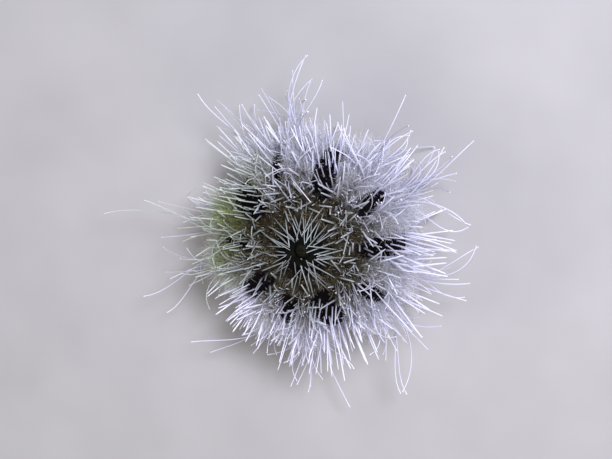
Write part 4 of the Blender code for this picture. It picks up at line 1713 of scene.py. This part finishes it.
@dataclass
class Mouth:
    """The membrane round the mouth with its lip, and the five teeth in it."""

    shell: Shell
    radius: float = 9.0 * MM
    opening: float = 3.3 * MM
    depth: float = 6.0 * MM
    tooth_length: float = 5.8 * MM
    tooth_radius: float = 2.45 * MM
    tooth_rows: int = 12
    tooth_sides: int = 14
    # Half the angle that a tooth takes up at the axis
    tooth_angle: float = math.radians(31)
    lip_folds: int = 40
    lip_depth: float = 0.10
    wrinkle_size: float = 0.8 * MM
    wrinkle_depth: float = 0.12
    foot_place: float = 6.1 * MM
    foot_turn: float = math.radians(10)
    foot_rise: float = 1.3 * MM
    foot_lean: float = 0.2
    foot_tone: float = 0.2
    # Drop and radius of each ring of a mouth foot, in millimetres
    foot_rings: tuple = (
        (0, 0.46),
        (0.8, 0.38),
        (1.6, 0.33),
        (2.3, 0.3),
        (2.6, 0.48),
        (2.9, 0.54),
        (3.0, 0.34),
    )

    def membrane(self) -> bpy.types.Object:
        """Builds the membrane from the mouth's ceiling out to the shell, folded towards the lip."""
        edge = self.shell.height_at(self.radius, below=True)
        opening, roof = self.opening, edge + self.depth
        corners = [
            (0, roof),
            (opening * 0.6, roof),
            (opening, roof),
            (opening, edge + 3.4 * MM),
            (opening, edge + 1.4 * MM),
            (opening + 0.25 * MM, edge + 0.35 * MM),
            (opening + 1.0 * MM, edge + 0.5 * MM),
            (opening + 2.8 * MM, edge + 1.0 * MM),
            (self.radius - 0.9 * MM, edge + 0.4 * MM),
            (self.radius + 0.1 * MM, edge + 0.1 * MM),
            (self.radius + 0.2 * MM, edge + 0.9 * MM),
        ]

        def folded(radius: float, height: float, azimuth: float) -> float:
            """The height with the folds of the lip and the wrinkles."""
            near = smoothstep(self.radius, opening, radius)
            near *= smoothstep(edge + 3 * MM, edge + 1 * MM, height)
            spot = Vector((math.cos(azimuth) * radius, math.sin(azimuth) * radius, 0))
            wrinkle = noise.noise(spot / self.wrinkle_size) * self.wrinkle_depth
            return height + (math.cos(self.lip_folds * azimuth) * self.lip_depth * near + wrinkle) * MM

        made = turned("mouth_membrane", self.shell.centre, rounded(corners, 4), 160, folded)
        made.data.flip_normals()
        return made

    def feet(self) -> list[Filament]:
        """Gives the ten short stout feet that feel for food, in five pairs round the lip."""
        height = self.shell.height_at(self.radius, below=True) + self.foot_rise
        arc = self.shell.arc_at(self.foot_place, below=True)
        radii = [radius * MM for _, radius in self.foot_rings]
        made = []
        for turn in (ray * RAY_TURN + side * self.foot_turn for ray in range(RAYS) for side in (-1, 1)):
            azimuth = self.shell.first_ambulacrum + turn
            out = radial(azimuth)
            root = self.shell.centre + out * self.foot_place + UP * height
            points = [
                root + (out * self.foot_lean * drop - UP) * drop * MM for drop, _ in self.foot_rings
            ]
            made.append(self.shell.rooted(points, radii, (arc, azimuth), self.foot_tone))
        return made

    def tooth(self, number: int) -> bpy.types.Object:
        """Builds one curved chisel tooth with a rounded back.

        Args:
            number: From 0, in the order of the solids.

        Returns:
            The tooth.
        """
        azimuth = self.shell.first_interambulacrum + number * RAY_TURN
        root = self.shell.height_at(self.radius, below=True) + self.depth - 0.35 * MM
        out = radial(azimuth)
        side = Vector((-math.sin(azimuth), math.cos(azimuth), 0))
        rows, turns = self.tooth_rows, self.tooth_sides
        points = []
        for row in range(rows + 1):
            share = row / rows
            back = self.tooth_radius * (1 - 0.10 * share) * (1 - smoothstep(0.55, 1.0, share) * 0.62)
            wide = math.tan(self.tooth_angle) * back * (1 - 0.45 * smoothstep(0.6, 1.0, share))
            height = root - self.tooth_length * 0.98 * share
            middle = self.shell.centre + out * (0.34 * MM + back * 0.5) + UP * height
            for turn in range(turns):
                angle = ROUND * turn / turns
                deep, across = math.cos(angle), math.sin(angle)
                narrow = 0.9 * (1 - 0.45 * max(0.0, -deep))
                points.append(middle + out * deep * back * 0.5 + side * across * wide * narrow)
        faces = [tuple(range(turns)), tuple(reversed(range(rows * turns, (rows + 1) * turns)))]
        for near in range(0, rows * turns, turns):
            faces += belt(near, near + turns, turns)
        made = mesh_object(f"tooth_piece_{number + 1}", points, faces)
        body = bmesh.new()
        body.from_mesh(made.data)
        bmesh.ops.recalc_face_normals(body, faces=body.faces)
        body.to_mesh(made.data)
        body.free()
        return made


@dataclass
class Studio:
    """A plain pale floor, soft light and the camera, looking down a little to one side of the axis."""

    shell: Shell
    azimuth: float = math.radians(135)
    elevation: float = math.radians(72)
    distance: float = 0.40
    pixel: float = 0.36 * MM
    image_width: int = 612
    # How far the picture's middle is from the animal's axis, in pixels
    offset: tuple = (-10.0, 7.5)
    sensor_width: float = 36.0
    floor_half: float = 2.0
    # Name, place from the animal, size in metres, watts and colour
    softboxes: tuple = (
        ("key_softbox", (0.30, 0.30, 0.60), 0.20, 8.8, "#F1F2FF"),
        ("fill_softbox", (-0.55, -0.15, 0.50), 0.5, 2.2, "#F7F6F4"),
        ("low_softbox", (0.10, -0.62, 0.30), 0.4, 2.0, "#FFF5F1"),
    )
    air_colour: str = "#DCDBE4"
    air_strength: float = 0.12

    def build(self) -> None:
        """Builds all of it."""
        self.build_floor()
        self.build_camera()
        for name, place, size, power, colour in self.softboxes:
            self.build_light(name, Vector(place), size, power, colour)
        world = bpy.data.worlds.new("studio_air")
        world.use_nodes = True
        air = world.node_tree.nodes["Background"]
        air.inputs["Color"].default_value = linear(self.air_colour)
        air.inputs["Strength"].default_value = self.air_strength
        bpy.context.scene.world = world
        bpy.context.scene.view_settings.view_transform = "Standard"

    def build_floor(self) -> None:
        """Builds the paper that the animal stands on."""
        half = self.floor_half
        corners = [Vector((x, y, 0)) for x, y in ((-half, -half), (half, -half), (half, half), (-half, half))]
        floor = mesh_object("floor", corners, [(0, 1, 2, 3)])
        floor.data.materials.append(PAPER.material())

    def build_camera(self) -> None:
        """Builds the camera, with the row's +Y upwards in its picture."""
        shown = self.shell.centre + UP * self.shell.ambitus
        shown += Vector((self.offset[0], self.offset[1], 0)) * self.pixel
        level = math.cos(self.elevation)
        across, back = math.sin(self.azimuth) * level, -math.cos(self.azimuth) * level
        towards = Vector((across, back, math.sin(self.elevation)))
        right = Vector((0, 1, 0)).cross(towards).normalized()
        lens = bpy.data.cameras.new("camera")
        lens.sensor_width = self.sensor_width
        lens.lens = lens.sensor_width * self.distance / (self.image_width * self.pixel)
        camera = linked("camera", lens)
        turn = Matrix((right, towards.cross(right), towards)).transposed()
        camera.matrix_world = Matrix.Translation(shown + towards * self.distance) @ turn.to_4x4()
        bpy.context.scene.camera = camera

    def build_light(self, name: str, place: Vector, size: float, power: float, colour: str) -> None:
        """Builds one softbox that faces the animal.

        Args:
            name: Its name.
            place: Where it hangs, seen from the middle of the animal.
            size: Its diameter.
            power: Its watts.
            colour: Its hex colour.
        """
        light = bpy.data.lights.new(name, "AREA")
        light.shape = "DISK"
        light.size = size
        light.energy = power
        light.color = linear(colour)[:3]
        lamp = linked(name, light)
        lamp.location = self.shell.centre + UP * self.shell.ambitus + place
        lamp.rotation_euler = place.to_track_quat("Z", "Y").to_euler()


def settle(piece: bpy.types.Object, finish: bpy.types.Material | None, slot: str, *nodes: str) -> None:
    """Dresses a piece, sets it on the body and hides the solids that it stands for.

    Args:
        piece: The finished piece.
        finish: Its material, or None where it has one.
        slot: The record's material slot, which is not used.
        *nodes: The solids that it replaces.
    """
    if finish:
        piece.data.materials.append(finish)
    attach(piece, BODY)
    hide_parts(*nodes)
    LOG.info("%s: %d faces", piece.name, len(piece.data.polygons))


def build_body(shell: Shell) -> bpy.types.Object:
    """Builds the skin and all that lies in it.

    Args:
        shell: The test.

    Returns:
        The skin, for the coats that are scattered on it.
    """
    skin = shell.skin()
    settle(skin, SHELL_SKIN.material(), "spiny_shell", *shell.nodes)
    settle(shell.apical_disc(), DISC_SKIN.material(), "apical_plates", "apical_disc")
    settle(AnalField(shell).build(), ANAL_SKIN.material(), "soft_skin", "periproct")
    mouth = Mouth(shell)
    settle(mouth.membrane(), MOUTH_SKIN.material(), "mouth_skin", "peristome")
    ivory = TOOTH.material()
    for number in range(RAYS):
        settle(mouth.tooth(number), ivory, "tooth", f"tooth_{number + 1}")
    return skin


def build_coats(shell: Shell, draw: random.Random) -> None:
    """Builds all that is swept along guide lines, in one piece a sector and coat.

    Args:
        shell: The test.
        draw: The random source.
    """
    sweep, thicket = Sweep(), Thicket()
    calcite, tissue, velvet, cotton = (
        finish.material() for finish in (SPINE_CALCITE, FOOT_TISSUE, VELVET_TISSUE, COTTON_TISSUE)
    )
    settle(sweep.build("mouth_feet", Mouth(shell).feet(), 10, tissue), None, "mouth_skin", "peristome")
    feet, spines = FootCoat(shell), SpineCoat(shell)
    fur = HairCoat(
        shell,
        Ground.FURRED,
        crowds=((9, 5), (32, 5), (42, 2), (60, 1.6), (74, 2.4)),
        heights=((8, 1.6), (14, 3.4), (20, 6.4), (30, 7.2), (44, 6.0), (74, 3.0)),
        thickness=0.075 * MM,
        clump=1.1,
        stray=0.34,
        curl=0.24,
        steps=4,
        first_arc=8 * MM,
        lean=0.6,
    )
    wool = HairCoat(
        shell,
        Ground.SEAMS,
        crowds=((22, 1.5), (30, 6), (36, 8.5), (46, 7), (56, 2), (74, 0.8)),
        heights=((22, 4), (30, 7.5), (38, 9.5), (50, 8.5), (58, 6), (74, 3)),
        thickness=0.085 * MM,
        clump=0.6,
        stray=0.3,
        curl=0.5,
        steps=5,
        first_arc=22 * MM,
        strong_share=0.0,
    )
    for sector in shell.sectors():
        if sector.kind is Kind.AMBULACRUM:
            made = sweep.build(f"tube_feet_{sector.node}", feet.grow(sector, thicket, draw), 6, tissue)
            settle(made, None, "spiny_shell", sector.node)
    for sector in shell.sectors():
        for name, filaments, sides, finish in (
            ("spines", spines.grow(sector, thicket, draw), 8, calcite),
            ("velvet", fur.grow(sector, draw), 3, velvet),
            ("wool", wool.grow(sector, draw), 3, cotton),
        ):
            made = sweep.build(f"{name}_{sector.node}", filaments, sides, finish)
            settle(made, None, "spiny_shell", sector.node)


def build_scattered(shell: Shell, skin: bpy.types.Object) -> None:
    """Builds the small things that are scattered over the skin.

    Args:
        shell: The test.
        skin: Its skin.
    """
    scatter = Scatter()
    for thing in (PEDICELLARIAE, TUBERCLES):
        settle(thing.build(scatter, skin), None, "spiny_shell", *shell.nodes)


def main() -> None:
    """Builds the pieces in order, from the skin outwards, then the studio."""
    logging.basicConfig(level=logging.INFO, format="%(message)s")
    noise.seed_set(NOISE_SEED)
    low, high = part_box("apical_disc")
    shell = Shell(centre=Vector(((low.x + high.x) / 2, (low.y + high.y) / 2, 0)))
    skin = build_body(shell)
    build_coats(shell, random.Random(DRAW_SEED))
    build_scattered(shell, skin)
    Studio(shell).build()


if __name__ == "__main__":
    main()
